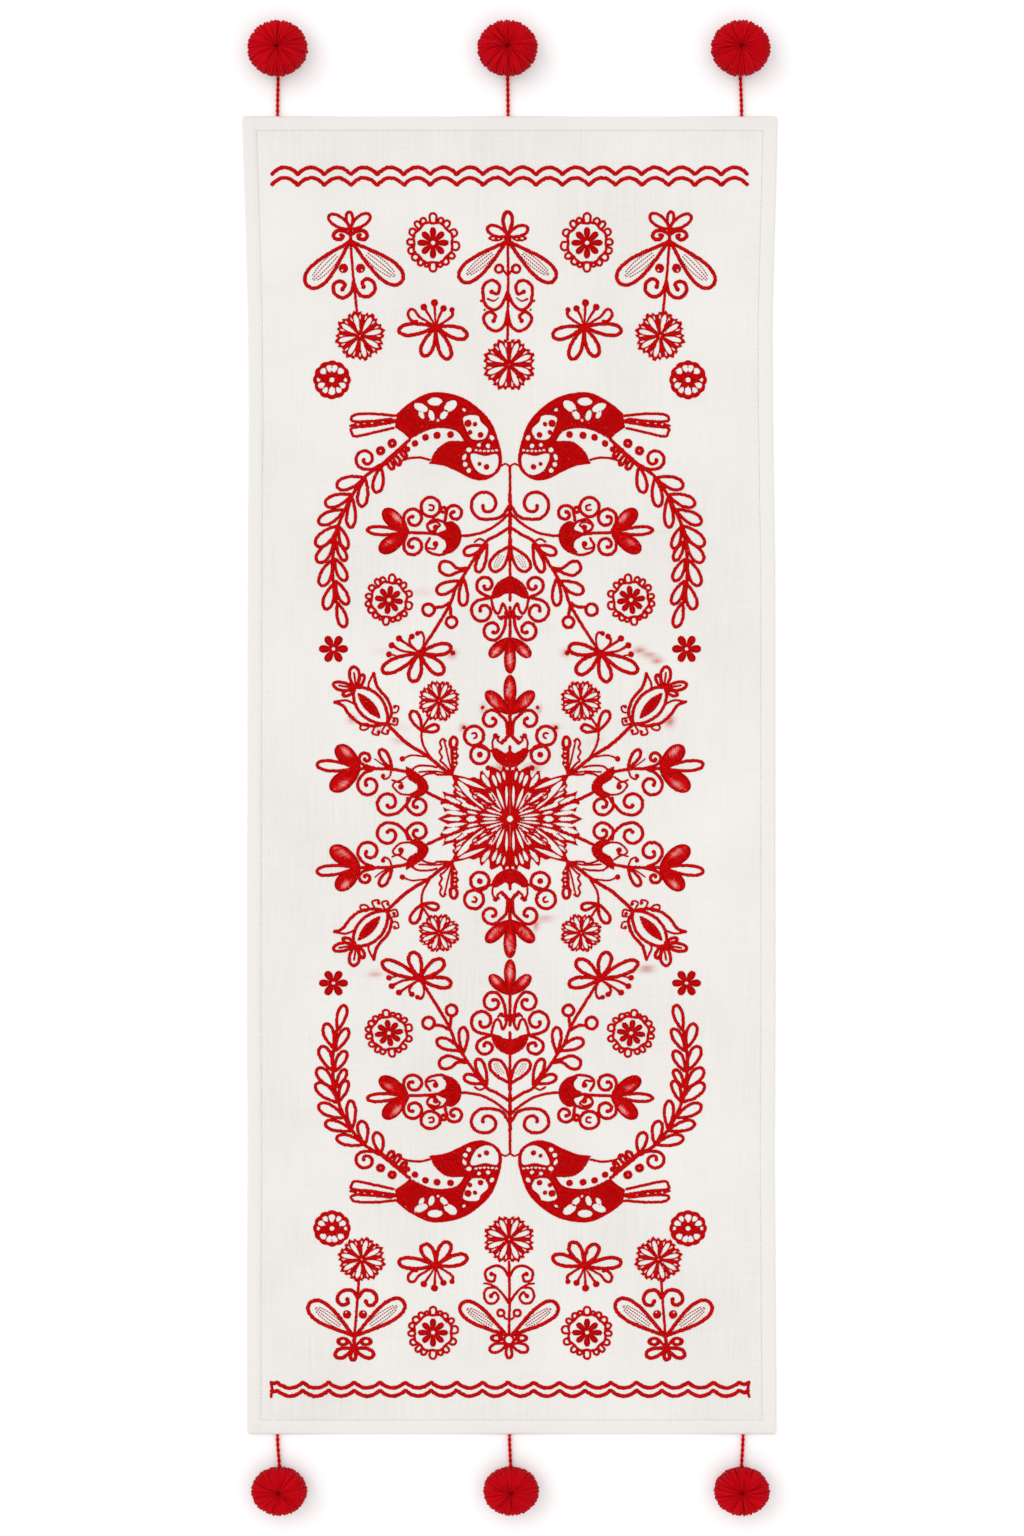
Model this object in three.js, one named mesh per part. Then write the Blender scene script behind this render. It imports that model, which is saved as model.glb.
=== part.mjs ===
// An embroidered table runner: a white hemmed cloth that lies flat on a table, and six red yarn
// pompoms, three beyond each short edge, each on a short twisted cord that leaves the hem.
// Millimetres, +Z up. The origin is the middle of the cloth's underside, +Y runs along the runner.

import * as THREE from "three";

// Cloth
const LENGTH = 1000;
const CLOTH_THICKNESS = 1.3;
const HEM_WIDTH = 11;
const HEM_THICKNESS = 2.2;
const HEM_SLOPE = 1.2;
const HEM_CORNER_RISE = 0.5;
const CORNER_ROUND = 2;
const CORNER_PULL = 0.6;
const ROW_PITCH = 40;
const COLUMN_PITCH = 28;

// The two long edges, which flare at one end and draw in below it
const SIDES = [
  { y: 500, left: -203.1, right: 203.1 },
  { y: 455, left: -201.7, right: 202.2 },
  { y: 408, left: -200.1, right: 200.8 },
  { y: 345, left: -198.4, right: 199.2 },
  { y: 270, left: -197.9, right: 199.6 },
  { y: 160, left: -198.6, right: 201.2 },
  { y: -180, left: -199.4, right: 201.5 },
  { y: -290, left: -198.7, right: 200.8 },
  { y: -370, left: -199.2, right: 201.5 },
  { y: -500, left: -199.4, right: 202.3 },
];

// Long low swellings where the cloth doesn't lie quite flat: middle, heading, half length and half width
const FOLDS = [
  { x: -60, y: 330, heading: 78, long: 190, wide: 34, rise: 0.5 },
  { x: 120, y: 150, heading: 96, long: 220, wide: 30, rise: 0.4 },
  { x: -130, y: -60, heading: 88, long: 240, wide: 32, rise: 0.45 },
  { x: 70, y: -250, heading: 82, long: 200, wide: 36, rise: 0.5 },
  { x: -20, y: -420, heading: 10, long: 150, wide: 40, rise: 0.35 },
];

// Cords
const CORD_DIAMETER = 2.8;
const CORD_SIDES = 8;
const TWIST_PITCH = 8;
const TWIST_DEPTH = 0.09;
const STEP = 1.5;
const HEM_RIDGE = { halfWidth: 3.2, rise: 0.8 };
const CORD_COLUMNS = [-176.2, -0.6, 176.6];

// A cord's route, from the hem outwards: how far out from the edge, and how high its middle is.
// It lies on the table, goes in under the pompom's rim and climbs to the tie in the core.
const LONG_ROUTE = [
  { out: 0.3, up: 1.5 }, { out: 3, up: 1.5 }, { out: 6, up: 1.5 }, { out: 9, up: 1.5 },
  { out: 12, up: 1.5 }, { out: 15, up: 1.5 }, { out: 18, up: 1.5 }, { out: 21, up: 1.5 },
  { out: 24, up: 1.5 }, { out: 26.5, up: 1.5 }, { out: 28.4, up: 1.52 }, { out: 30.8, up: 1.73 },
  { out: 33.3, up: 2.4 }, { out: 35.7, up: 3.5 }, { out: 37.8, up: 5 }, { out: 39.5, up: 6.6 },
  { out: 41.3, up: 8.4 }, { out: 43.2, up: 10.3 },
];
const SHORT_ROUTE = [
  { out: 0.3, up: 1.5 }, { out: 3, up: 1.5 }, { out: 6, up: 1.5 }, { out: 9, up: 1.5 },
  { out: 12, up: 1.5 }, { out: 15, up: 1.5 }, { out: 18, up: 1.5 }, { out: 20.5, up: 1.5 },
  { out: 22.7, up: 1.52 }, { out: 25.7, up: 1.91 }, { out: 28.6, up: 3.11 }, { out: 31.1, up: 5 },
  { out: 32.4, up: 6.3 }, { out: 33.6, up: 7.5 }, { out: 34.9, up: 8.8 },
];

// The two ends: which way the cords run, how far out the pompoms' middles lie, their depth and height
const TOP = { end: 1, out: 49.9, deep: 41.6, high: 34, route: LONG_ROUTE };
const BOTTOM = { end: -1, out: 41.6, deep: 36.2, high: 31, route: SHORT_ROUTE };

// Pompoms and their cords: where the cord leaves the hem, the pompom's middle and its width
const TASSELS = [
  { ...TOP, name: "top_left", hemX: -176.2, x: -175.5, wide: 45 },
  { ...TOP, name: "top_middle", hemX: -1.2, x: -1.6, wide: 45 },
  { ...TOP, name: "top_right", hemX: 176.1, x: 174.9, wide: 44.4 },
  { ...BOTTOM, name: "bottom_left", hemX: -176.2, x: -174.3, wide: 41.4 },
  { ...BOTTOM, name: "bottom_middle", hemX: -0.1, x: 1.1, wide: 41.4 },
  { ...BOTTOM, name: "bottom_right", hemX: 177.2, x: 175.7, wide: 41.4 },
];

// A pompom is a core, where the yarn is tied, with locks that grow out of its faces and stand apart
// as they widen. Radii (r) are in parts of the pompom's half width, heights (h) of its half height.
const COLUMNS = 32;
const CORE_RINGS = [
  { r: 0.12, h: 0.32 },
  { r: 0.34, h: 0.06 },
  { r: 0.32, h: -0.16 },
  { r: 0.16, h: -0.28 },
];
const LOCK_GAP = 0.5;
const REACH_VARIATION = { share: 0.02, turn: 4.1 };

// The tiers: the band of the core that a tier grows from, whether its locks stand in the odd or the
// even columns, how many columns from the cord the first one stands, and a lock's upper and lower
// side at each station from the core to the tip. The last tier's locks rest level on the table.
const TIERS = [
  {
    band: 0, odd: 1, clear: 0,
    stations: [
      { topR: 0.1, topH: 0.74, lowR: 0.36, lowH: 0.4 },
      { topR: 0.46, topH: 1, lowR: 0.52, lowH: 0.5 },
      { topR: 0.88, topH: 0.68, lowR: 0.8, lowH: 0.3 },
      { topR: 0.99, topH: 0.28, lowR: 0.94, lowH: 0.14 },
    ],
  },
  {
    band: 1, odd: 0, clear: 0,
    stations: [{ topR: 1, topH: 0.08, lowR: 0.94, lowH: -0.42 }],
  },
  {
    band: 2, odd: 1, clear: 2,
    stations: [
      { topR: 0.88, topH: -0.52, lowR: 0.55, lowH: -0.62 },
      { topR: 0.74, topH: -1, lowR: 0.46, lowH: -1 },
    ],
  },
];

// The knot grows from the core towards the cord, and its flat end meets the cord's end.
const KNOT = { band: 2, column: 0, reach: 9.2, halfWidth: 1.7 };

const CLOTH_FINISH = { color: 0xede8e3, roughness: 0.92, metalness: 0 };
const CORD_FINISH = { color: 0xb8040f, roughness: 0.8, metalness: 0 };
const POMPOM_FINISH = { color: 0xb60210, roughness: 0.85, metalness: 0 };

const { clamp, degToRad, lerp, smoothstep } = THREE.MathUtils;

// A closed geometry from its corner points and its triangles.
function closed(points, triangles) {
  const geometry = new THREE.BufferGeometry();
  geometry.setAttribute("position", new THREE.Float32BufferAttribute(points.flat(), 3));
  geometry.setIndex(triangles.flat());
  return geometry;
}

function piece(name, geometry, finish) {
  geometry.computeVertexNormals();
  const mesh = new THREE.Mesh(geometry, new THREE.MeshStandardMaterial(finish));
  mesh.name = name;
  return mesh;
}

// Where a long edge of the cloth lies at y.
function edgeAt(side, y) {
  const below = clamp(SIDES.findIndex((row) => row.y <= y), 1, SIDES.length - 1);
  const above = SIDES[below - 1];
  const share = (above.y - y) / (above.y - SIDES[below].y);
  return lerp(above[side], SIDES[below][side], clamp(share, 0, 1));
}

// The cloth's grid lines: close together over the hems and beside the cords, and even between.
function evenLines(from, to, pitch) {
  const count = Math.max(1, Math.round((to - from) / pitch));
  return Array.from({ length: count + 1 }, (_, i) => lerp(from, to, i / count));
}

const HEM_LINES = [0, CORNER_ROUND, HEM_WIDTH - HEM_SLOPE, HEM_WIDTH];

function rowLines() {
  const low = HEM_LINES.map((inset) => -LENGTH / 2 + inset);
  const high = HEM_LINES.map((inset) => LENGTH / 2 - inset).reverse();
  const inner = evenLines(low.at(-1), high[0], ROW_PITCH).slice(1, -1);
  return [...low, ...inner, ...high];
}

function innerColumns() {
  const near = (x) => [x - HEM_RIDGE.halfWidth, x, x + HEM_RIDGE.halfWidth];
  const [first, middle, last] = CORD_COLUMNS.map(near);
  const between = (a, b) => evenLines(a.at(-1), b[0], COLUMN_PITCH).slice(1, -1);
  return [...first, ...between(first, middle), ...middle, ...between(middle, last), ...last];
}

function columnLines(y, inner) {
  const left = HEM_LINES.map((inset) => edgeAt("left", y) + inset);
  const right = HEM_LINES.map((inset) => edgeAt("right", y) - inset).reverse();
  return [...left, ...inner, ...right];
}

function foldRise(x, y) {
  return FOLDS.reduce((sum, fold) => {
    const heading = degToRad(fold.heading);
    const along = (x - fold.x) * Math.cos(heading) + (y - fold.y) * Math.sin(heading);
    const across = (y - fold.y) * Math.cos(heading) - (x - fold.x) * Math.sin(heading);
    return sum + fold.rise * Math.exp(-((along / fold.long) ** 2) - (across / fold.wide) ** 2);
  }, 0);
}

// The height of the cloth's face: the doubled hem, thicker at its corners and over each cord's end.
function faceHeight(x, y) {
  const hemAt = (inset) => 1 - smoothstep(inset, HEM_WIDTH - HEM_SLOPE, HEM_WIDTH);
  const sideHem = hemAt(Math.min(x - edgeAt("left", y), edgeAt("right", y) - x));
  const endHem = hemAt(LENGTH / 2 - Math.abs(y));
  const hem = Math.max(sideHem, endHem);
  const toCord = Math.min(...CORD_COLUMNS.map((cordX) => Math.abs(x - cordX)));
  const ridge = HEM_RIDGE.rise * Math.max(0, 1 - toCord / HEM_RIDGE.halfWidth) * endHem;
  const doubled = (HEM_THICKNESS - CLOTH_THICKNESS) * hem + HEM_CORNER_RISE * sideHem * endHem;
  return CLOTH_THICKNESS + doubled + ridge + foldRise(x, y) * (1 - hem);
}

// The cloth: its face is a grid of points, its underside is flat, and its rim joins the two.
function clothGeometry() {
  const rows = rowLines();
  const inner = innerColumns();
  const across = columnLines(0, inner).length;
  const points = [];
  const triangles = [];
  rows.forEach((y, j) => {
    columnLines(y, inner).forEach((x, i) => {
      const corner = (i === 0 || i === across - 1) && (j === 0 || j === rows.length - 1);
      const pull = corner ? CORNER_PULL : 0;
      points.push([x - Math.sign(x) * pull, y - Math.sign(y) * pull, faceHeight(x, y)]);
    });
  });
  const face = (i, j) => j * across + i;
  for (let j = 0; j < rows.length - 1; j++) {
    for (let i = 0; i < across - 1; i++) {
      triangles.push([face(i, j), face(i + 1, j), face(i + 1, j + 1)]);
      triangles.push([face(i, j), face(i + 1, j + 1), face(i, j + 1)]);
    }
  }

  // The rim, counter-clockwise from the corner where both grids start
  const last = { i: across - 1, j: rows.length - 1 };
  const rim = [];
  for (let i = 0; i < last.i; i++) rim.push(face(i, 0));
  for (let j = 0; j < last.j; j++) rim.push(face(last.i, j));
  for (let i = last.i; i > 0; i--) rim.push(face(i, last.j));
  for (let j = last.j; j > 0; j--) rim.push(face(0, j));
  const under = new Map();
  rim.forEach((top) => {
    under.set(top, points.length);
    points.push([points[top][0], points[top][1], 0]);
  });
  rim.forEach((top, k) => {
    const next = rim[(k + 1) % rim.length];
    triangles.push([top, under.get(top), under.get(next)], [top, under.get(next), next]);
  });

  // The underside: a fan at each end, and one strip of quads between
  const low = (i, j) => under.get(face(i, j));
  for (let i = 0; i < last.i; i++) {
    triangles.push([low(0, 1), low(i + 1, 0), low(i, 0)]);
    triangles.push([low(0, last.j - 1), low(i, last.j), low(i + 1, last.j)]);
  }
  triangles.push([low(0, 1), low(last.i, 1), low(last.i, 0)]);
  triangles.push([low(0, last.j - 1), low(last.i, last.j), low(last.i, last.j - 1)]);
  for (let j = 1; j < last.j - 1; j++) {
    triangles.push([low(0, j), low(last.i, j + 1), low(last.i, j)]);
    triangles.push([low(0, j), low(0, j + 1), low(last.i, j + 1)]);
  }
  return closed(points, triangles);
}

// A cord's middle line: it drifts sideways from where it leaves the hem to its pompom.
function cordCurve(tassel) {
  const reach = tassel.route.at(-1).out;
  const points = tassel.route.map(({ out, up }) => {
    const x = lerp(tassel.hemX, tassel.x, smoothstep(out, 0, reach));
    return new THREE.Vector3(x, tassel.end * (LENGTH / 2 + out), up);
  });
  return new THREE.CatmullRomCurve3(points);
}

// A cord: a round section swept along its route, then raised and lowered as two plies twist.
function cordGeometry(tassel) {
  const curve = cordCurve(tassel);
  const section = new THREE.Shape();
  for (let k = 0; k < CORD_SIDES; k++) {
    const angle = (2 * Math.PI * (k + 0.5)) / CORD_SIDES;
    const corner = [Math.cos(angle), Math.sin(angle)].map((c) => (c * CORD_DIAMETER) / 2);
    if (k === 0) section.moveTo(...corner);
    else section.lineTo(...corner);
  }
  const steps = Math.round(curve.getLength() / STEP);
  const geometry = new THREE.ExtrudeGeometry(section, { steps, extrudePath: curve, bevelEnabled: false });
  const middles = curve.getSpacedPoints(steps);
  const frames = curve.computeFrenetFrames(steps, false);
  const position = geometry.getAttribute("position");
  const point = new THREE.Vector3();
  for (let v = 0; v < position.count; v++) {
    point.fromBufferAttribute(position, v);
    const station = middles.reduce(
      (best, middle, k) => (point.distanceTo(middle) < point.distanceTo(middles[best]) ? k : best), 0);
    const offset = point.clone().sub(middles[station]);
    const angle = Math.atan2(offset.dot(frames.binormals[station]), offset.dot(frames.normals[station]));
    const turn = (2 * Math.PI * station * curve.getLength()) / (steps * TWIST_PITCH);
    const swell = 1 - TWIST_DEPTH * (1 - Math.cos(2 * (angle - turn)));
    point.copy(middles[station]).addScaledVector(offset, swell);
    position.setXYZ(v, point.x, point.y, point.z);
  }
  return geometry;
}

// A pompom, as one closed surface: the core's rings, with a lock or the knot grown from some faces.
function pompomGeometry(tassel) {
  const middle = new THREE.Vector3(tassel.x, tassel.end * (LENGTH / 2 + tassel.out), tassel.high / 2);
  const pitch = (2 * Math.PI) / COLUMNS;
  const points = [];
  const triangles = [];
  const add = (r, h, angle) => {
    const across = (r * tassel.wide * Math.cos(angle)) / 2;
    const along = (r * tassel.deep * Math.sin(angle)) / 2;
    points.push([middle.x + across, middle.y + along, middle.z + (h * tassel.high) / 2]);
    return points.length - 1;
  };
  const azimuth = (column) => degToRad(-90 * tassel.end) + pitch * column;

  // A face is four points: upper right, upper left, lower left and lower right, looking outwards.
  const cap = (face) => triangles.push([face[0], face[2], face[1]], [face[0], face[3], face[2]]);
  const grow = (from, to) => {
    for (let c = 0; c < 4; c++) {
      const next = (c + 1) % 4;
      triangles.push([from[c], to[next], from[next]], [from[c], to[c], to[next]]);
    }
    return to;
  };

  const rings = CORE_RINGS.map(({ r, h }) =>
    Array.from({ length: COLUMNS }, (_, j) => add(r, h, azimuth(j - 0.5))));
  const coreFace = (band, column) => {
    const next = (column + 1) % COLUMNS;
    return [rings[band][column], rings[band][next], rings[band + 1][next], rings[band + 1][column]];
  };

  const growLock = (face, tier, column) => {
    const reach = 1 + REACH_VARIATION.share * Math.sin(REACH_VARIATION.turn * column);
    const corner = (r, h, side) => {
      const radius = r * (h > -1 ? reach : 1);
      const half = pitch - LOCK_GAP / (radius * tassel.wide);
      return add(radius, h, azimuth(column) + side * half);
    };
    return tier.stations.reduce((from, { topR, topH, lowR, lowH }) => grow(from, [
      corner(topR, topH, -1), corner(topR, topH, 1), corner(lowR, lowH, 1), corner(lowR, lowH, -1),
    ]), face);
  };

  const growKnot = (face) => {
    const [before, last] = tassel.route.slice(-2);
    const inwards = tassel.end * (before.out - last.out);
    const toCord = new THREE.Vector3(0, inwards, before.up - last.up).normalize();
    const side = new THREE.Vector3(tassel.end * KNOT.halfWidth, 0, 0);
    const up = new THREE.Vector3().crossVectors(toCord, side);
    const centre = middle.clone().addScaledVector(toCord, KNOT.reach);
    const corner = (a, b) => {
      points.push(centre.clone().addScaledVector(side, a).addScaledVector(up, b).toArray());
      return points.length - 1;
    };
    return grow(face, [corner(-1, 1), corner(1, 1), corner(1, -1), corner(-1, -1)]);
  };

  for (let band = 0; band < CORE_RINGS.length - 1; band++) {
    const tier = TIERS.find((row) => row.band === band);
    for (let column = 0; column < COLUMNS; column++) {
      const face = coreFace(band, column);
      const fromCord = Math.min(column, COLUMNS - column);
      const isLock = column % 2 === tier.odd && fromCord >= tier.clear;
      if (band === KNOT.band && column === KNOT.column) cap(growKnot(face));
      else if (isLock) cap(growLock(face, tier, column));
      else cap(face);
    }
  }

  // The core's two ends
  const top = add(0, CORE_RINGS[0].h, 0);
  const bottom = add(0, CORE_RINGS.at(-1).h, 0);
  for (let column = 0; column < COLUMNS; column++) {
    const next = (column + 1) % COLUMNS;
    triangles.push([top, rings[0][column], rings[0][next]]);
    triangles.push([bottom, rings.at(-1)[next], rings.at(-1)[column]]);
  }
  return closed(points, triangles);
}

const runner = new THREE.Group();
runner.add(piece("cloth", clothGeometry(), CLOTH_FINISH));
TASSELS.forEach((tassel) => {
  runner.add(piece(`cord_${tassel.name}`, cordGeometry(tassel), CORD_FINISH));
  runner.add(piece(`pompom_${tassel.name}`, pompomGeometry(tassel), POMPOM_FINISH));
});

export default runner;
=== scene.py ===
import math

import bmesh
import bpy
import numpy as np
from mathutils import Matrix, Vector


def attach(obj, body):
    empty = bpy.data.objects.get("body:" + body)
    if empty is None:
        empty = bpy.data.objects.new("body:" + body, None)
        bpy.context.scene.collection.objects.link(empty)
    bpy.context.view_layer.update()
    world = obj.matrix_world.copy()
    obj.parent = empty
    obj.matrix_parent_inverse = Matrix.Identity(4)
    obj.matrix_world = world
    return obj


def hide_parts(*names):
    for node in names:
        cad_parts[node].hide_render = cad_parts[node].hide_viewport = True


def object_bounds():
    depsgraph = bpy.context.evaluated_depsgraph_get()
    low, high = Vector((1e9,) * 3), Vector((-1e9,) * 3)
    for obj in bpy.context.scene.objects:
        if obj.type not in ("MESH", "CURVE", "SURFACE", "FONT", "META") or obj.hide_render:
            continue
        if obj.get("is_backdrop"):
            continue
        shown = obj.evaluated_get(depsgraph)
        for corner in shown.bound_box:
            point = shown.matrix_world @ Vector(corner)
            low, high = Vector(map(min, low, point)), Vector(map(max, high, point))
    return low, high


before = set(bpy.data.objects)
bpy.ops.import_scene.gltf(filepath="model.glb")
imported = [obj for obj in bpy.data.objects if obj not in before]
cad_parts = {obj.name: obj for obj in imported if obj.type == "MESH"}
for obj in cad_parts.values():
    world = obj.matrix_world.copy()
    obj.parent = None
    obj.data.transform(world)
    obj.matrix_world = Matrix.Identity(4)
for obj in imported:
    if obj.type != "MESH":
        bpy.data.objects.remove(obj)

# Lengths in this file are millimetres until a mesh is written, which is in metres.
MM = 0.001
scene = bpy.context.scene
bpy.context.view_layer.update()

# Cloth sizes
LENGTH = 1000
CLOTH_THICKNESS = 1.3
HEM_WIDTH = 11
HEM_THICKNESS = 2.2
HEM_SLOPE = 3.2
HEM_CORNER_RISE = 0.5
CORNER_ROUND = 2.2
CREASE_DEPTH = 1.5

# The two long edges, as measured in the photo: y, left, right
SIDES = np.array([
    (500, -203.1, 203.1),
    (455, -201.7, 202.2),
    (408, -200.1, 200.8),
    (345, -198.4, 199.2),
    (270, -197.9, 199.6),
    (160, -198.6, 201.2),
    (-180, -199.4, 201.5),
    (-290, -198.7, 200.8),
    (-370, -199.2, 201.5),
    (-500, -199.4, 202.3),
])[::-1]

# Low swellings of the cloth, and under them the soft creases: x, y, heading, half length, half width, rise
FOLDS = [
    (-60, 330, 78, 190, 34, 0.5),
    (120, 150, 96, 220, 30, 0.4),
    (-130, -60, 88, 240, 32, 0.45),
    (70, -250, 82, 200, 36, 0.5),
    (-20, -420, 10, 150, 40, 0.35),
]
CREASES = [
    (-150, 400, 88, 90, 5, 0.35),
    (-96, 300, 93, 120, 6, -0.3),
    (-30, 420, 86, 80, 5, 0.3),
    (62, 350, 94, 110, 6, 0.35),
    (148, 420, 91, 70, 5, -0.3),
    (170, 260, 87, 130, 7, 0.3),
    (-178, 120, 90, 150, 6, -0.35),
    (-60, 40, 84, 110, 7, 0.3),
    (40, 60, 96, 120, 6, -0.25),
    (160, -40, 92, 140, 6, 0.35),
    (-120, -190, 89, 130, 6, 0.3),
    (98, -170, 95, 100, 5, -0.3),
    (-30, -300, 92, 90, 6, 0.3),
    (175, -330, 88, 110, 6, 0.3),
    (-170, -380, 94, 90, 5, 0.35),
    (60, -420, 87, 70, 5, -0.3),
    (-70, -440, 12, 60, 6, 0.25),
    (110, 470, 8, 60, 6, 0.2),
]

# Cords and pompoms, as in the solids
TWIST_PITCH = 8
HEM_RIDGE_HALF = 3.2
HEM_RIDGE_RISE = 0.8
CORD_COLUMNS = (-176.2, -0.6, 176.6)
LONG_ROUTE = np.array([
    (0.3, 1.5), (3, 1.5), (6, 1.5), (9, 1.5), (12, 1.5), (15, 1.5), (18, 1.5), (21, 1.5), (24, 1.5),
    (26.5, 1.5), (28.4, 1.52), (30.8, 1.73), (33.3, 2.4), (35.7, 3.5), (37.8, 5), (39.5, 6.6),
    (41.3, 8.4), (43.2, 10.3),
])
SHORT_ROUTE = np.array([
    (0.3, 1.5), (3, 1.5), (6, 1.5), (9, 1.5), (12, 1.5), (15, 1.5), (18, 1.5), (20.5, 1.5),
    (22.7, 1.52), (25.7, 1.91), (28.6, 3.11), (31.1, 5), (32.4, 6.3), (33.6, 7.5), (34.9, 8.8),
])
# name, end, x at the hem, x and distance out of the pompom's middle, width, depth, height. All but the
# heights are measured in the photo.
TASSELS = [
    ("top_left", 1, -176.2, -175.5, 49.9, 45, 41.6, 34),
    ("top_middle", 1, -1.2, -1.6, 49.9, 45, 41.6, 34),
    ("top_right", 1, 176.1, 174.9, 49.9, 44.4, 41.6, 34),
    ("bottom_left", -1, -176.2, -174.3, 41.6, 41.4, 36.2, 31),
    ("bottom_middle", -1, -0.1, 1.1, 41.6, 41.4, 36.2, 31),
    ("bottom_right", -1, 177.2, 175.7, 41.6, 41.4, 36.2, 31),
]


# Camera

LENS = 120
SENSOR_WIDTH = 36
# In metres
CAMERA_PLACE = (0.00182, 0.0055, 3.888)
VIEW_END = 20


def add_camera():
    """A long lens straight above the cloth's middle."""
    data = bpy.data.cameras.new("camera_above")
    data.lens = LENS
    data.sensor_width = SENSOR_WIDTH
    data.clip_end = VIEW_END
    camera = bpy.data.objects.new("camera_above", data)
    camera.location = CAMERA_PLACE
    scene.collection.objects.link(camera)
    scene.camera = camera


add_camera()


# Numbers shared by the shapes

def smoothstep(x, low, high):
    t = np.clip((x - low) / (high - low), 0, 1)
    return t * t * (3 - 2 * t)


def edge_at(side, y):
    return np.interp(y, SIDES[:, 0], SIDES[:, 1 if side == "left" else 2])


def swelling(rows, x, y):
    """How far rounded ridges, given as rows of numbers, lift the cloth at each place."""
    rise = np.zeros_like(x)
    for at_x, at_y, heading, long, wide, height in rows:
        turn = math.radians(heading)
        along = (x - at_x) * math.cos(turn) + (y - at_y) * math.sin(turn)
        across = (y - at_y) * math.cos(turn) - (x - at_x) * math.sin(turn)
        rise += height * np.exp(-((along / long) ** 2) - (across / wide) ** 2)
    return rise


def face_height(x, y):
    """The height of the cloth's upper face, with its doubled hem, low folds and creases."""
    x = np.asarray(x, float)
    y = np.asarray(y, float)
    side_inset = np.minimum(x - edge_at("left", y), edge_at("right", y) - x)
    side_hem = 1 - smoothstep(side_inset, HEM_WIDTH - HEM_SLOPE, HEM_WIDTH)
    end_hem = 1 - smoothstep(LENGTH / 2 - np.abs(y), HEM_WIDTH - HEM_SLOPE, HEM_WIDTH)
    hem = np.maximum(side_hem, end_hem)
    to_cord = np.min([np.abs(x - column) for column in CORD_COLUMNS], axis=0)
    ridge = HEM_RIDGE_RISE * np.maximum(0, 1 - to_cord / HEM_RIDGE_HALF) * end_hem
    doubled = (HEM_THICKNESS - CLOTH_THICKNESS) * hem + HEM_CORNER_RISE * side_hem * end_hem
    soft = swelling(FOLDS, x, y) + CREASE_DEPTH * swelling(CREASES, x, y)
    return CLOTH_THICKNESS + doubled + ridge + soft * (1 - hem)


def curve(points, closed=False, step=0.7):
    """A smooth line through the points, as points about one step apart."""
    points = np.array(points, float)
    if closed:
        around = np.vstack([points[-1], points, points[0], points[1]])
    else:
        around = np.vstack([2 * points[0] - points[1], points, 2 * points[-1] - points[-2]])
    line = []
    for a, b, c, d in zip(around, around[1:], around[2:], around[3:]):
        count = max(2, round(np.linalg.norm(c - b) / step))
        t = np.linspace(0, 1, count, endpoint=False)[:, None]
        line.append(0.5 * (2 * b + (c - a) * t + (2 * a - 5 * b + 4 * c - d) * t**2
                           + (3 * b - a - 3 * c + d) * t**3))
    if not closed:
        line.append(points[-1:])
    return np.vstack(line)


def distances_along(line):
    """How far along a line each of its points lies."""
    steps = np.linalg.norm(np.diff(line, axis=0), axis=1)
    return np.concatenate([[0], np.cumsum(steps)])


def spaced(line, pitch):
    """Points along a line at even distances, and the heading at each."""
    along = distances_along(line)
    count = max(1, round(along[-1] / pitch))
    at = (np.arange(count) + 0.5) * along[-1] / count
    middle = np.column_stack([np.interp(at, along, line[:, k]) for k in range(line.shape[1])])
    reach = 0.4 * pitch
    ahead = np.column_stack([np.interp(at + reach, along, line[:, k]) for k in range(2)])
    behind = np.column_stack([np.interp(at - reach, along, line[:, k]) for k in range(2)])
    heading = np.arctan2(*(ahead - behind).T[::-1])
    return middle, heading, along[-1] / count


# Meshes

class Rod:
    """A straight closed rod along z from 0 to 1, whose rings have the given places and radii."""

    def __init__(self, sides, stations):
        bm = bmesh.new()
        first, radius = stations[0]
        bmesh.ops.create_circle(bm, cap_ends=True, segments=sides, radius=radius)
        bmesh.ops.translate(bm, vec=(0, 0, first), verts=bm.verts[:])
        bm.faces.ensure_lookup_table()
        end = bm.faces[0]
        ring_of = {v: 0 for v in bm.verts}
        for ring, (place, wider) in enumerate(stations[1:], 1):
            inner = end
            made = bmesh.ops.extrude_face_region(bm, geom=[inner])["geom"]
            corners = [part for part in made if isinstance(part, bmesh.types.BMVert)]
            end = next(part for part in made if isinstance(part, bmesh.types.BMFace))
            ring_of.update({v: ring for v in corners})
            bmesh.ops.translate(bm, vec=(0, 0, place - first), verts=corners)
            bmesh.ops.scale(bm, vec=(wider / radius, wider / radius, 1), verts=corners)
            if ring > 1 and inner.is_valid:
                bmesh.ops.delete(bm, geom=[inner], context="FACES_ONLY")
            first, radius = place, wider
        bmesh.ops.recalc_face_normals(bm, faces=bm.faces[:])
        bmesh.ops.triangulate(bm, faces=bm.faces[:])
        bm.verts.index_update()
        self.corners = np.array([v.co[:] for v in bm.verts])
        self.ring = np.array([ring_of[v] for v in bm.verts])
        self.faces = np.array([[v.index for v in face.verts] for face in bm.faces])
        bm.free()
        around = np.arctan2(self.corners[:, 1], self.corners[:, 0]) / (2 * math.pi) % 1
        around = around[self.faces]
        crosses = np.ptp(around, axis=1)[:, None] > 0.5
        around = np.where(crosses & (around < 0.5), around + 1, around)
        self.uv = np.stack([self.corners[self.faces, 2], around], axis=2)


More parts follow.
